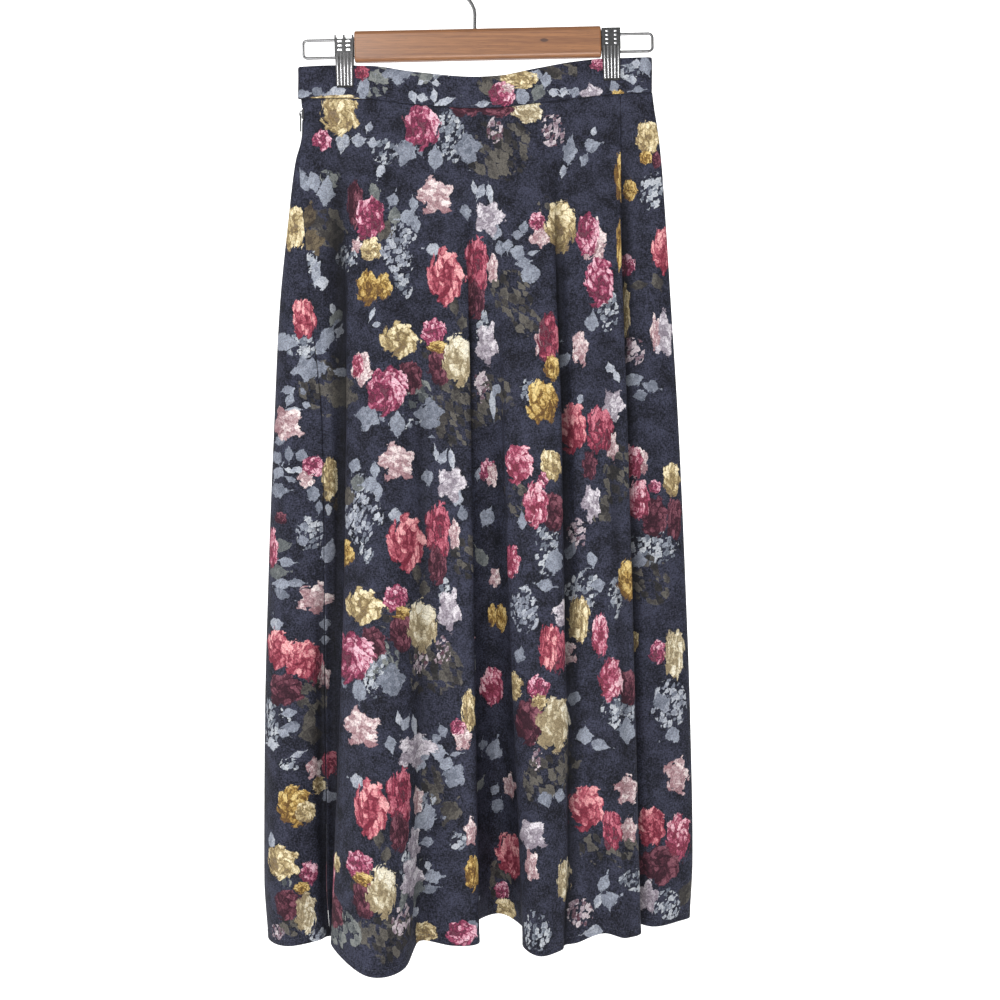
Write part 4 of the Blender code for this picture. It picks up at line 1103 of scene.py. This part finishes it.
def laceOn(paint, colour, layer, texture):
    # Foliage made of small chips, thinning outwards: coarse where bold is 0, fine where it is 1.
    x, y, _ = paint.parts(paint.attribute(f"lace{layer}Place"))
    kind, bold, seed = paint.parts(paint.attribute(f"lace{layer}Look"))
    spread = x * x + y * y
    away = spread + 2.2 * (texture.mottle - 0.5)
    near, pick, hue = (paint.add("ShaderNodeMix", {"data_type": "FLOAT"}, {0: bold, 2: a, 3: b})
                       for a, b in zip(texture.coarse, texture.fine))
    chosen = paint.step(pick + 0.22 * (seed - 0.5) - 0.38 * away, -0.08 + 0.12 * bold,
                        -0.02 + 0.12 * bold)
    mask = paint.step(near - 0.16 * hue, 0.44, 0.37) * chosen * paint.step(spread, 1.6, 1.4)
    mask = mask * paint.step(away, 1.25, 1.1)
    shade = 0.44 + 0.8 * (hue - 0.5) + 0.8 * (texture.strokes - 0.5) + 0.5 * (near - 0.2)
    return paint.mix(colour, paint.ink(leafKinds, kind, shade), mask * 0.95)


def leafOn(paint, colour, layer, texture):
    # A pointed leaf, lobed where it is large, with chipped edges.
    x, y, size = paint.parts(paint.attribute(f"leaf{layer}Place"))
    kind, lit, seed = paint.parts(paint.attribute(f"leaf{layer}Look"))
    x, y = x + texture.warpX * size * 0.36, y + texture.warpY * size * 0.46
    across = (y * y) ** 0.5
    lobes = paint.maths("SINE", x * 8.0 + seed * 6.0)
    lens = paint.maths("MAXIMUM", 1.0 - x * x, 0.0) ** 1.35
    half = lens * (1.02 + 0.45 * x) + 0.2 * lobes * paint.step(size, 1.2, 0.85)
    _, chip, hue = texture.fine
    mask = paint.step(across - half + 0.34 * (chip - 0.5), 0.04, -0.04)
    shade = (0.56 + 0.16 * y * lit + 0.5 * (texture.strokes - 0.5) + 0.34 * (hue - 0.5)
             + 0.3 * (seed - 0.5))
    return paint.mix(colour, paint.ink(leafKinds, kind, shade), mask)


def bloomOn(paint, colour, layer, texture):
    # A rose of curled petals in dabs, darker at its heart, or an open flower of five petals.
    x, y, size = paint.parts(paint.attribute(f"bloom{layer}Place"))
    kind, lit, form = paint.parts(paint.attribute(f"bloom{layer}Look"))
    seed = paint.maths("FRACT", form)
    petals = form - seed
    x, y = x + texture.warpX * size * 0.55, y + texture.warpY * size * 0.55
    away = (x * x + y * y) ** 0.5
    angle = paint.maths("ARCTAN2", y, x)
    wave = paint.maths("COSINE", angle * petals + seed * 40.0)
    open = paint.step(petals, 6.5, 5.5)
    edge = 1.04 - (0.1 + 0.2 * open) * (0.5 - 0.5 * wave)
    curl = (away * 0.8 + seed) * (1.0 - open)
    turnX, turnY = paint.maths("COSINE", curl), paint.maths("SINE", curl)
    curlX, curlY = x * turnX - y * turnY, x * turnY + y * turnX
    large = paint.joined(curlX * 1.9, curlY * 2.3, seed * 30.0)
    patch, tint, _ = paint.parts(paint.cells(large, output=1))
    crack = paint.cells(large, "DISTANCE_TO_EDGE")
    dabs = paint.joined(curlX * 4.2, curlY * 6.0, seed * 11.0)
    small, dab, _ = paint.parts(paint.cells(dabs, output=1))
    mask = paint.step(away / (edge + 0.3 * (patch - 0.5) + 0.12 * (small - 0.5)), 1.01, 0.96)
    heart = paint.step(away, 0.62, 0.12) * (1.0 - 0.7 * open)
    side = x * paint.maths("COSINE", lit) + y * paint.maths("SINE", lit)
    shade = (0.52 + 0.5 * (tint - 0.5) + 0.6 * (dab - 0.5) + 0.75 * (texture.strokes - 0.5)
             + 0.3 * side - 0.26 * heart - (0.34 - 0.16 * open) * paint.step(crack, 0.12, 0.02))
    return paint.mix(colour, paint.ink(bloomKinds, kind, shade, -0.1, 1.1), mask)


def printedCloth(name):
    paint = Paint(name)
    place = paint.place()
    threads = paint.stretched(place, (380, 380, 1500))
    cross = paint.stretched(place, (1500, 1500, 380))
    heather = 0.5 * threads + 0.5 * cross
    mottle = paint.noise(place, 55.0, 3.0)
    strokes = paint.noise(place, 480.0, 2.0, 0.6)
    tone = heather + 0.6 * (mottle - 0.5) + 0.5 * (strokes - 0.5)
    colour = paint.mix(*groundTones, paint.step(tone, 0.3, 0.72))
    blotch = paint.step(paint.noise(place, 34.0, 4.0, 0.6), 0.6, 0.74)
    colour = paint.mix(colour, blotchTone, 0.4 * blotch * heather)
    warp = paint.noise(place, 230.0, 3.0, 0.62, 1)
    warpX, warpY, _ = paint.parts(warp)
    drifted = paint.vector("ADD", place, paint.scaled(warp, 0.0036))
    texture = Texture(mottle, strokes, warpX - 0.5, warpY - 0.5,
                      shards(paint, drifted, 0.7, (150.0, 150.0, 92.0)),
                      shards(paint, drifted, -0.6, (250.0, 250.0, 170.0)))
    for layers, layOn in zip(layerSets, (laceOn, leafOn, bloomOn)):
        for layer in range(layers.count):
            colour = layOn(paint, colour, layer, texture)
    grain = paint.noise(place, 760.0, 1.0)
    worn = paint.step(heather + 1.3 * (grain - 0.5), 0.7, 0.2)
    colour = paint.mix(colour, groundTones[0], 0.42 * worn)
    # Painted shade: the colour darkens towards near black in the tucks.
    colour = paint.mix(colour, foldShadeTone, printMake["foldShade"] * paint.attribute("folded", 2))
    faded = paint.mix(colour, reverseTone, printMake["fade"])
    colour = paint.mix(colour, faded, paint.attribute("reverse", 2))
    bump = paint.bump(threads + cross, 0.12, 0.0003)
    return paint.finish({"Base Color": colour, "Roughness": 0.85, "Specular IOR Level": 0.2}, bump)


# ---- what follows a path, made by geometry nodes

class Growth:
    # A geometry node tree with named inputs.
    def __init__(self, name):
        self.tree = bpy.data.node_groups.new(name, "GeometryNodeTree")
        self.nodes, self.links = self.tree.nodes, self.tree.links
        for way in ("INPUT", "OUTPUT"):
            self.tree.interface.new_socket("Geometry", in_out=way, socket_type="NodeSocketGeometry")
        self.start = self.nodes.new("NodeGroupInput")
        self.keys = {}

    def number(self, name, value):
        made = self.tree.interface.new_socket(name, in_out="INPUT", socket_type="NodeSocketFloat")
        made.default_value = value
        self.keys[name] = made.identifier
        return self.start.outputs[name]

    def add(self, kind, settings=None, inputs=None, output=0):
        node = self.nodes.new(kind)
        for name, value in (settings or {}).items():
            setattr(node, name, value)
        for name, value in (inputs or {}).items():
            if isinstance(value, bpy.types.NodeSocket):
                self.links.new(value, node.inputs[name])
            else:
                node.inputs[name].default_value = value
        return node.outputs[output]

    def finish(self, geometry, material):
        whole = self.add("GeometryNodeRealizeInstances", None, {"Geometry": geometry})
        smoothed = self.add("GeometryNodeSetShadeSmooth", None, {0: whole})
        done = self.add("GeometryNodeSetMaterial", None, {
            "Geometry": smoothed, "Material": material})
        self.links.new(done, self.nodes.new("NodeGroupOutput").inputs[0])
        return self


def grown(name, source, growth, values):
    # Runs a tree on an object and keeps the result as a plain mesh.
    change = source.modifiers.new("growth", "NODES")
    change.node_group = growth.tree
    for key, value in values.items():
        change[growth.keys[key]] = value
    bpy.context.view_layer.update()
    graph = bpy.context.evaluated_depsgraph_get()
    mesh = bpy.data.meshes.new_from_object(source.evaluated_get(graph))
    made = bpy.data.objects.new(name, mesh)
    bpy.context.scene.collection.objects.link(made)
    bpy.data.objects.remove(source)
    return made


def pathObject(name, paths):
    # Open polylines, in millimetres, for a tree to follow.
    curve = bpy.data.curves.new(name, "CURVE")
    curve.dimensions = "3D"
    for path in paths:
        spline = curve.splines.new("POLY")
        spline.points.add(len(path) - 1)
        for point, p in zip(spline.points, path):
            point.co = (p[0] * mm, p[1] * mm, p[2] * mm, 1)
    made = bpy.data.objects.new(name, curve)
    bpy.context.scene.collection.objects.link(made)
    return made


def rodGrowth(material):
    growth = Growth("rods")
    radius = growth.number("Radius", 0.001)
    circle = growth.add("GeometryNodeCurvePrimitiveCircle", None, {
        "Resolution": 12, "Radius": radius})
    rods = growth.add("GeometryNodeCurveToMesh", None, {
        "Curve": growth.start.outputs[0], "Profile Curve": circle, "Fill Caps": True})
    return growth.finish(rods, material)


def stitchGrowth(material):
    growth = Growth("stitches")
    pitch = growth.number("Pitch", 0.003)
    length = growth.number("Length", 0.0022)
    thick = growth.number("Thickness", 0.0005)
    points = growth.add("GeometryNodeResampleCurve", {"mode": "LENGTH"}, {
        "Curve": growth.start.outputs[0], "Length": pitch})
    tangent = growth.add("GeometryNodeInputTangent")
    turn = growth.add("FunctionNodeAlignEulerToVector", {"axis": "X"}, {"Vector": tangent})
    bead = growth.add("GeometryNodeMeshUVSphere", None, {"Segments": 6, "Rings": 4, "Radius": 0.5})
    size = growth.add("ShaderNodeCombineXYZ", None, {0: length, 1: thick, 2: thick})
    stitches = growth.add("GeometryNodeInstanceOnPoints", None, {
        "Points": points, "Instance": bead, "Rotation": turn, "Scale": size})
    return growth.finish(stitches, material)


# ---- the hanger

hanger = {
    "barZ": -95.8,           # middle of the bar, about which the hanger tilts
    "tilt": 1.21,
    "knot": (69.0, -92.5),   # x and z of the knot in the bar's wood, and its half size
    "knotHalf": (4.6, 2.1),
    "headGap": 5.2,          # half the space inside a clip at its head and at its foot
    "footGap": 4.3,
    "clipWide": 18.8,
    "clipFoot": 16.8,
    "clipHigh": 51.0,
    "sheet": 0.9,
    "prong": 1.6,            # width of the outer prongs, and half that of the middle one
    "midProng": 1.0,
    "flange": (1.2, 21.0),   # the folded sides: from and to below the top, thickness and depth
    "flangeThick": 0.9,
    "flangeIn": 2.3,
    "ribs": 5,
    "ribFrom": 19.0,
    "ribRadius": 0.95,
    "padApart": 8.4,
}
# The head of a clip: a notch between three prongs, and rows of raised pads in two columns.
Clip = namedtuple("Clip", "name x top notch padWide padHigh firstPad padPitch padRows")
clips = (
    Clip("Left", -130.6, -84.2, 3.8, 5.2, 2.3, 6.4, 4.3, 3),
    Clip("Right", 135.8, -82.6, 0.0, 2.8, 1.9, 3.4, 4.0, 4),
)


def tilted(p):
    # A point of the hanger as it hangs, a little lower at the left.
    a = math.radians(hanger["tilt"])
    x, z = p[0], p[2] - hanger["barZ"]
    return (x * math.cos(a) - z * math.sin(a), p[1],
            x * math.sin(a) + z * math.cos(a) + hanger["barZ"])


def clipInside(clip, z):
    share = (clip.top - z) / hanger["clipHigh"]
    return hanger["headGap"] + (hanger["footGap"] - hanger["headGap"]) * share


def clipWidth(clip, z):
    share = (clip.top - z) / hanger["clipHigh"]
    return hanger["clipWide"] + (hanger["clipFoot"] - hanger["clipWide"]) * share


def clipPlate(clip, side, material):
    # A sheet with prongs at its head, folded in at its sides.
    sign = -1 if side == "Front" else 1
    high, half = hanger["clipHigh"], 0.5 * hanger["clipWide"]
    prong, midProng = half - hanger["prong"], hanger["midProng"]
    xs = [-half, -prong, -midProng, midProng, prong, half]
    zs = [0.0, clip.notch or 3.0, 12.0, hanger["ribFrom"], 0.6 * high, high]
    solid = {(r, c): not (clip.notch and r == 0 and c in (1, 3))
             for r in range(len(zs) - 1) for c in range(len(xs) - 1)}
    points, faces = [], []
    for out in (hanger["sheet"], 0.0):
        for z in zs:
            height = clip.top - z
            share = 0.5 * clipWidth(clip, height) / half
            y = sign * (clipInside(clip, height) + out)
            points += [tilted((clip.x + x * share, y, height)) for x in xs]
    cols, more = len(xs), len(xs) * len(zs)
    for (r, c), full in solid.items():
        if not full:
            continue
        a, b = r * cols + c, r * cols + c + 1
        d, e = a + cols, b + cols
        faces += [(a, d, e, b), (a + more, b + more, e + more, d + more)]
        for (p, q), other in (((a, b), (r - 1, c)), ((e, d), (r + 1, c)),
                              ((d, a), (r, c - 1)), ((b, e), (r, c + 1))):
            if not solid.get(other, False):
                faces.append((p, q, q + more, p + more))
    box = ((0, 1, 3, 2), (4, 6, 7, 5), (0, 4, 5, 1), (2, 3, 7, 6), (0, 2, 6, 4), (1, 5, 7, 3))
    for edge in (-1, 1):
        first, fold = len(points), clip.x + edge * (half - 0.35)
        for z in hanger["flange"]:
            height = clip.top - z
            for x in (fold - 0.5 * hanger["flangeThick"], fold + 0.5 * hanger["flangeThick"]):
                for y in (hanger["flangeIn"], clipInside(clip, height)):
                    points.append(tilted((x, sign * y, height)))
        faces += [tuple(first + k for k in face) for face in box]
    made = makeMesh(f"clip{clip.name}{side}Plate", points, faces, material, False)
    outwards(made)
    bevel = made.modifiers.new("edges", "BEVEL")
    bevel.width = 0.22 * mm
    bevel.segments = 2
    bevel.limit_method = "ANGLE"
    return made


def padGrowth(material):
    growth = Growth("pads")
    wide = growth.number("Width", 0.005)
    high = growth.number("Height", 0.002)
    block = growth.add("GeometryNodeMeshCube", None, {"Size": (1, 1, 1)})
    soft = growth.add("GeometryNodeSubdivisionSurface", None, {
        "Mesh": block, "Level": 2, "Edge Crease": 0.45})
    size = growth.add("ShaderNodeCombineXYZ", None, {0: wide, 1: 0.0016, 2: high})
    pads = growth.add("GeometryNodeInstanceOnPoints", None, {
        "Points": growth.start.outputs[0], "Instance": soft, "Scale": size,
        "Rotation": (0.0, -math.radians(hanger["tilt"]), 0.0)})
    return growth.finish(pads, material)


def clipPads(clip, side, growth):
    sign = -1 if side == "Front" else 1
    points = []
    for row in range(clip.padRows):
        height = clip.top - clip.firstPad - row * clip.padPitch
        y = sign * (clipInside(clip, height) + hanger["sheet"])
        points += [tilted((clip.x + x, y, height))
                   for x in (-0.5 * hanger["padApart"], 0.5 * hanger["padApart"])]
    mesh = bpy.data.meshes.new("padPlaces")
    mesh.from_pydata([tuple(c * mm for c in p) for p in points], [], [])
    source = bpy.data.objects.new("padPlaces", mesh)
    bpy.context.scene.collection.objects.link(source)
    return grown(f"clip{clip.name}{side}Pads", source, growth,
                 {"Width": clip.padWide * mm, "Height": clip.padHigh * mm})


def outwards(obj):
    work = bmesh.new()
    work.from_mesh(obj.data)
    bmesh.ops.recalc_face_normals(work, faces=work.faces)
    work.to_mesh(obj.data)
    work.free()


def clipRibs(clip, side, growth):
    # Raised rods from under the holes to the foot.
    sign = -1 if side == "Front" else 1
    paths = []
    for k in range(hanger["ribs"]):
        share = (k + 0.5) / hanger["ribs"] - 0.5
        path = []
        for z, sink in ((hanger["ribFrom"] - 1.5, 1.0), (hanger["ribFrom"], 0.0),
                        (0.7 * hanger["clipHigh"], 0.0), (hanger["clipHigh"] - 0.6, 0.2)):
            height = clip.top - z
            out = clipInside(clip, height) + hanger["sheet"] - 0.3 - sink
            x = clip.x + share * clipWidth(clip, height) * 0.98
            path.append(tilted((x, sign * out, height)))
        paths.append(path)
    source = pathObject("ribPaths", paths)
    return grown(f"clip{clip.name}{side}Ribs", source, growth,
                 {"Radius": hanger["ribRadius"] * mm})


def brightSteel(name, tone, rough):
    paint = Paint(name)
    place = paint.place()
    brushed = paint.stretched(place, (2400, 2400, 160), 2.0)
    spots = paint.noise(place, 320.0, 3.0)
    dull = paint.step(spots, 0.45, 0.75)
    clean = (tone, tone, tone * 1.02, 1)
    worn = (tone * 0.72, tone * 0.7, tone * 0.68, 1)
    colour = paint.mix(clean, worn, dull)
    return paint.finish({"Base Color": colour, "Metallic": 1.0,
                         "Roughness": rough + 0.14 * brushed + 0.1 * dull},
                        paint.bump(brushed, 0.05, 0.0002))


def varnishedBeech(name):
    # Straight grain along the bar, short dark flecks, one small knot, and a thin clear coat.
    paint = Paint(name)
    place = paint.place()
    x, _, z = paint.parts(place)
    lines = paint.stretched(place, (7, 160, 420), 4.0, 0.6)
    fine = paint.stretched(place, (60, 900, 1800), 3.0)
    flecks = paint.stretched(place, (130, 500, 1500))
    tone = 0.55 * lines + 0.45 * fine
    colour = paint.mix(srgb(106, 64, 34), srgb(144, 96, 56), paint.step(tone, 0.3, 0.7))
    colour = paint.mix(colour, srgb(84, 50, 32), 0.45 * paint.step(flecks, 0.66, 0.74))
    middle, half = ([c * mm for c in hanger[key]] for key in ("knot", "knotHalf"))
    knotX, knotZ = (x - middle[0]) / half[0], (z - middle[1]) / half[1]
    knot = paint.step(knotX * knotX + knotZ * knotZ + 1.2 * (fine - 0.5), 1.2, 0.3)
    colour = paint.mix(colour, srgb(58, 30, 16), 0.92 * knot)
    return paint.finish({"Base Color": colour, "Roughness": 0.5 + 0.12 * fine, "Coat Weight": 0.3,
                         "Coat Roughness": 0.22}, paint.bump(fine, 0.08, 0.0002))


def jawRubber(name):
    paint = Paint(name)
    place = paint.place()
    x, _, _ = paint.parts(place)
    teeth = paint.maths("SINE", x * 3200.0)
    dust = paint.noise(place, 900.0, 2.0)
    # Painted shade: the grooves between the teeth are darker than their crests, over a random tone.
    colour = paint.mix(srgb(20, 19, 19), srgb(52, 50, 48), paint.step(0.3 * teeth + dust, 0.3, 0.9))
    return paint.finish({"Base Color": colour, "Roughness": 0.7 + 0.15 * dust},
                        paint.bump(teeth, 0.6, 0.0005))


def darkEnamel(name):
    paint = Paint(name)
    place = paint.place()
    chips = paint.noise(place, 700.0, 3.0, 0.6)
    colour = paint.mix(srgb(22, 22, 27), srgb(62, 63, 70), paint.step(chips, 0.58, 0.72))
    return paint.finish({"Base Color": colour, "Roughness": 0.38 + 0.2 * chips, "Metallic": 0.2},
                        paint.bump(chips, 0.08, 0.0002))


def zipTapeCloth(name):
    paint = Paint(name)
    place = paint.place()
    rows = paint.stretched(place, (900, 900, 2600))
    colour = paint.mix(srgb(28, 29, 36), srgb(56, 58, 68), rows)
    return paint.finish({"Base Color": colour, "Roughness": 0.85}, paint.bump(rows, 0.2, 0.0003))


def sewingThread(name):
    paint = Paint(name)
    place = paint.place()
    twist = paint.noise(place, 2600.0, 1.0)
    colour = paint.mix(srgb(34, 36, 46), srgb(70, 74, 88), twist)
    return paint.finish({"Base Color": colour, "Roughness": 0.65}, paint.bump(twist, 0.3, 0.0002))


def springSteel(name):
    # The turns of the coil show as rings round its axis, with painted shade in the gaps between the
    # turns.
    paint = Paint(name)
    place = paint.place()
    x, _, _ = paint.parts(place)
    turns = paint.maths("SINE", x * 5200.0)
    shade = paint.step(turns, -1.0, 0.6)
    colour = paint.mix((0.16, 0.16, 0.16, 1), (0.62, 0.62, 0.63, 1), shade)
    return paint.finish({"Base Color": colour, "Metallic": 1.0, "Roughness": 0.3 + 0.1 * shade},
                        paint.bump(turns, 0.8, 0.0006))


def dressHanger():
    # The clip is one chrome steel given three tones: its sheet near black as painted shade between
    # the ribs and pads, and lighter copies for the ribs and the pads as painted light.
    paintedShadeSteel, ribSteel = brightSteel("clipSteel", 0.05, 0.35), brightSteel("ribSteel", 0.55, 0.18)
    growth, padsGrowth = rodGrowth(ribSteel), padGrowth(brightSteel("padSteel", 0.85, 0.16))
    for clip in clips:
        for side in ("Front", "Back"):
            plate = clipPlate(clip, side, paintedShadeSteel)
            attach(plate, body)
            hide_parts(f"clip_{clip.name.lower()}_{side.lower()}")
            ribs = clipRibs(clip, side, growth)
            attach(ribs, body)
            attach(clipPads(clip, side, padsGrowth), body)
    wire = brightSteel("wireSteel", 0.27, 0.14)
    dull = brightSteel("dullWire", 0.17, 0.22)
    looks = {
        "hanger_bar": varnishedBeech("varnishedBeech"), "hanger_hook": wire, "loop_left": wire,
        "loop_right": dull, "zip_slider": darkEnamel("sliderEnamel"),
        "zip_pull": darkEnamel("pullEnamel"), "zip_tape": zipTapeCloth("zipTape"),
    }
    for hand in ("left", "right"):
        looks[f"clip_{hand}_spring"] = springSteel(f"spring{hand.title()}")
        for side in ("front", "back"):
            looks[f"clip_{hand}_jaw_{side}"] = jawRubber(f"jaw{hand.title()}{side.title()}")
    for node, material in looks.items():
        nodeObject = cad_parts[node]
        for slot in nodeObject.material_slots:
            slot.material = material
        if not nodeObject.material_slots:
            nodeObject.data.materials.append(material)


def hemStitches(sheet, grid, growth):
    # A line of small stitches above the hem, on the outer face of a panel.
    up = lowest - np.array(rowHeights())
    row = int(np.argmin(np.abs(up - cloth["stitchUp"] - 0.5)))
    cols = grid.shape[1]
    line = [tuple(v.co / mm) for v in sheet.data.vertices[row * cols + 2:(row + 1) * cols - 2]]
    source = pathObject("stitchPath", [line])
    return grown(sheet.name + "Stitches", source, growth,
                 {"Pitch": cloth["stitchPitch"] * mm, "Length": cloth["stitchLong"] * mm,
                  "Thickness": cloth["stitchThick"] * mm})


# ---- the room

room = {
    "world": 0.36,           # how strongly the sky lights
    "glow": 0.62,            # and the paper
    "floorZ": -1080.0,
    "wide": 9000.0,
    "near": -7000.0,
    "wall": 3000.0,
    "high": 7000.0,
    "bend": 1500.0,
    "sensor": 36,            # the camera's
    "lens": 64.8,
    "shift": -0.07,
}
Lamp = namedtuple("Lamp", "name x y z power size")
lamps = (
    Lamp("keyLight", -0.7, -3.0, 0.5, 36, 0.7),
    Lamp("leftLight", -2.4, -2.0, 0.2, 20, 1.2),
    Lamp("lowLight", 0.16, -3.0, -0.75, 24, 0.7),
    Lamp("backLight", 1.6, 2.4, 0.7, 36, 1.4),
)


def makeRoom():
    world = bpy.data.worlds.new("softStudio")
    world.use_nodes = True
    nodes, links = world.node_tree.nodes, world.node_tree.links
    nodes.clear()
    looked, mixed = nodes.new("ShaderNodeLightPath"), nodes.new("ShaderNodeMixShader")
    links.new(looked.outputs["Is Camera Ray"], mixed.inputs[0])
    for number, strength in ((1, room["world"]), (2, 1.0)):    # it lights softly but shows white
        background = nodes.new("ShaderNodeBackground")
        background.inputs["Color"].default_value = (1, 1, 1, 1)
        background.inputs["Strength"].default_value = strength
        links.new(background.outputs[0], mixed.inputs[number])
    links.new(mixed.outputs[0], nodes.new("ShaderNodeOutputWorld").inputs["Surface"])
    bpy.context.scene.world = world
    makeSweep()
    for lamp in lamps:
        data = bpy.data.lights.new(lamp.name, "AREA")
        data.energy, data.size = lamp.power, lamp.size
        light = bpy.data.objects.new(lamp.name, data)
        light.location = (lamp.x, lamp.y, lamp.z)
        aim = Vector((0, 0, -0.45)) - light.location
        light.rotation_euler = aim.to_track_quat("-Z", "Y").to_euler()
        bpy.context.scene.collection.objects.link(light)
    bpy.context.scene.view_settings.view_transform = "Standard"


def makeSweep():
    # A floor that bends up into a wall, as paper does behind a still life.
    z, bend, wall = room["floorZ"], room["bend"], room["wall"]
    line = [(room["near"], z)]
    for k in range(13):
        a = math.radians(90 * k / 12)
        line.append((wall - bend + bend * math.sin(a), z + bend - bend * math.cos(a)))
    line.append((wall, room["high"]))
    points = [(x, y, h) for y, h in line for x in (-room["wide"], room["wide"])]
    faces = [(2 * k, 2 * k + 1, 2 * k + 3, 2 * k + 2) for k in range(len(line) - 1)]
    return makeMesh("sweep", points, faces, paperMaterial())


def paperMaterial():
    paint = Paint("paleFloor")
    place = paint.place()
    speck = paint.noise(place, 9.0, 3.0)
    colour = paint.mix((0.86, 0.86, 0.86, 1), (0.9, 0.9, 0.9, 1), speck)
    return paint.finish({"Base Color": colour, "Roughness": 0.7, "Emission Color": (1, 1, 1, 1),
                         "Emission Strength": room["glow"]})


def makeCamera():
    data = bpy.data.cameras.new("camera")
    data.sensor_width, data.lens, data.shift_y = room["sensor"], room["lens"], room["shift"]
    camera = bpy.data.objects.new("camera", data)
    camera.location = (eye["x"] * mm, -eye["away"] * mm, eye["z"] * mm)
    camera.rotation_euler = (math.radians(90), 0, 0)
    bpy.context.scene.collection.objects.link(camera)
    bpy.context.scene.camera = camera


# ---- the whole skirt

# A panel's flat size is its greatest width and length, in metres as its area is, as cut and
# before it hung in folds.
Panel = namedtuple("Panel", "name node start stop span creases tucks facing flat area")
panels = (
    Panel("frontCloth", "skirt_front", "left", "right", cloth["frontSpan"], frontCreases,
          frontTucks, 1, (0.70, 0.85), 0.37),
    Panel("backRightCloth", "skirt_back_right", "right", "centre", cloth["backSpan"],
          backCreases, rightTucks, -1, (0.42, 0.85), 0.26),
    Panel("backLeftCloth", "skirt_back_left", "centre", "left", cloth["backSpan"],
          backCreases, leftTucks, -1, (0.42, 0.85), 0.26),
)
Chart = namedtuple("Chart", "strip right wrap band")
charts = {
    "lace": Chart(stripLace, rightLace, wrapLace, bandLace),
    "leaf": Chart(stripLeaves, rightLeaves, wrapLeaves, bandLeaves),
    "bloom": Chart(stripBlooms, rightBlooms, wrapBlooms, bandBlooms),
}


def edgeSeen(y):
    # Where the front's fold begins to cover the strip beside the left seam.
    return 348 - 0.033 * (y - eye["middleY"])


# The strip of sprays at the front's left comes again below itself: how many repeats down, and
# where it stops on the right and begins.
StripAgain = namedtuple("StripAgain", "times right top")
stripsAgain = (StripAgain(1, 476, 380), StripAgain(2, 424, 640))
wrapFrom = 300    # the front shows the wrapped cloth's sprays from here


def layPrint(printed):
    front, backRight, backLeft = printed
    down = printMake["repeat"]
    for layers in layerSets:
        chart = charts[layers.name]
        layInView([front], layers, chart.strip)
        for again in stripsAgain:
            layInView([front], layers, chart.strip, (again.times * down[0], again.times * down[1]),
                      limit=lambda x, y: edgeSeen(y) < x < again.right and y > again.top)
        layInView(printed, layers, chart.right)
        layInView([backRight, backLeft], layers, chart.wrap)
        layInView([front], layers, chart.wrap, reach=22.0, limit=lambda x, y: x > wrapFrom)
        layOnCloth(front, layers, chart.strip, 0)
        layOnCloth(backRight, layers, chart.strip, -1)
        layOnCloth(backLeft, layers, chart.strip, 0)


def hangPanels(printed, material):
    sheets = []
    for piece, panel in zip(printed, panels):
        made = shell(piece.grid, panel, material)
        writePrint(piece, made)
        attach(made, body)
        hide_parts(panel.node)
        sheets.append(made)
        print(panel.name, len(made.data.polygons), "faces")
    return sheets


def makeBand(material):
    outside, inside = bandWalls()
    piece = PrintedPiece("bandCloth", outside)
    markSeen([piece])
    for layers in layerSets:
        layInView([piece], layers, charts[layers.name].band)
        layOnCloth(piece, layers, charts[layers.name].strip, 0)
    made = closedWall("bandCloth", outside, inside, material)
    writePrint(piece, made)
    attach(made, body)
    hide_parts("waistband")
    return made


def stitchHems(sheets, printed):
    growth = stitchGrowth(sewingThread("hemThread"))
    for sheet, piece, panel in zip(sheets, printed, panels):
        stitches = hemStitches(sheet, piece.grid, growth)
        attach(stitches, body)


makeCamera()
makeRoom()
clothMaterial = printedCloth("printedCotton")
printed = [PrintedPiece(p.name, panelGrid(p.start, p.stop, p.span)) for p in panels]
markSeen(printed)
layPrint(printed)
print("print laid")
sheets = hangPanels(printed, clothMaterial)
band = makeBand(clothMaterial)
stitchHems(sheets, printed)
print("hem stitched")
dressHanger()
print("hanger dressed")
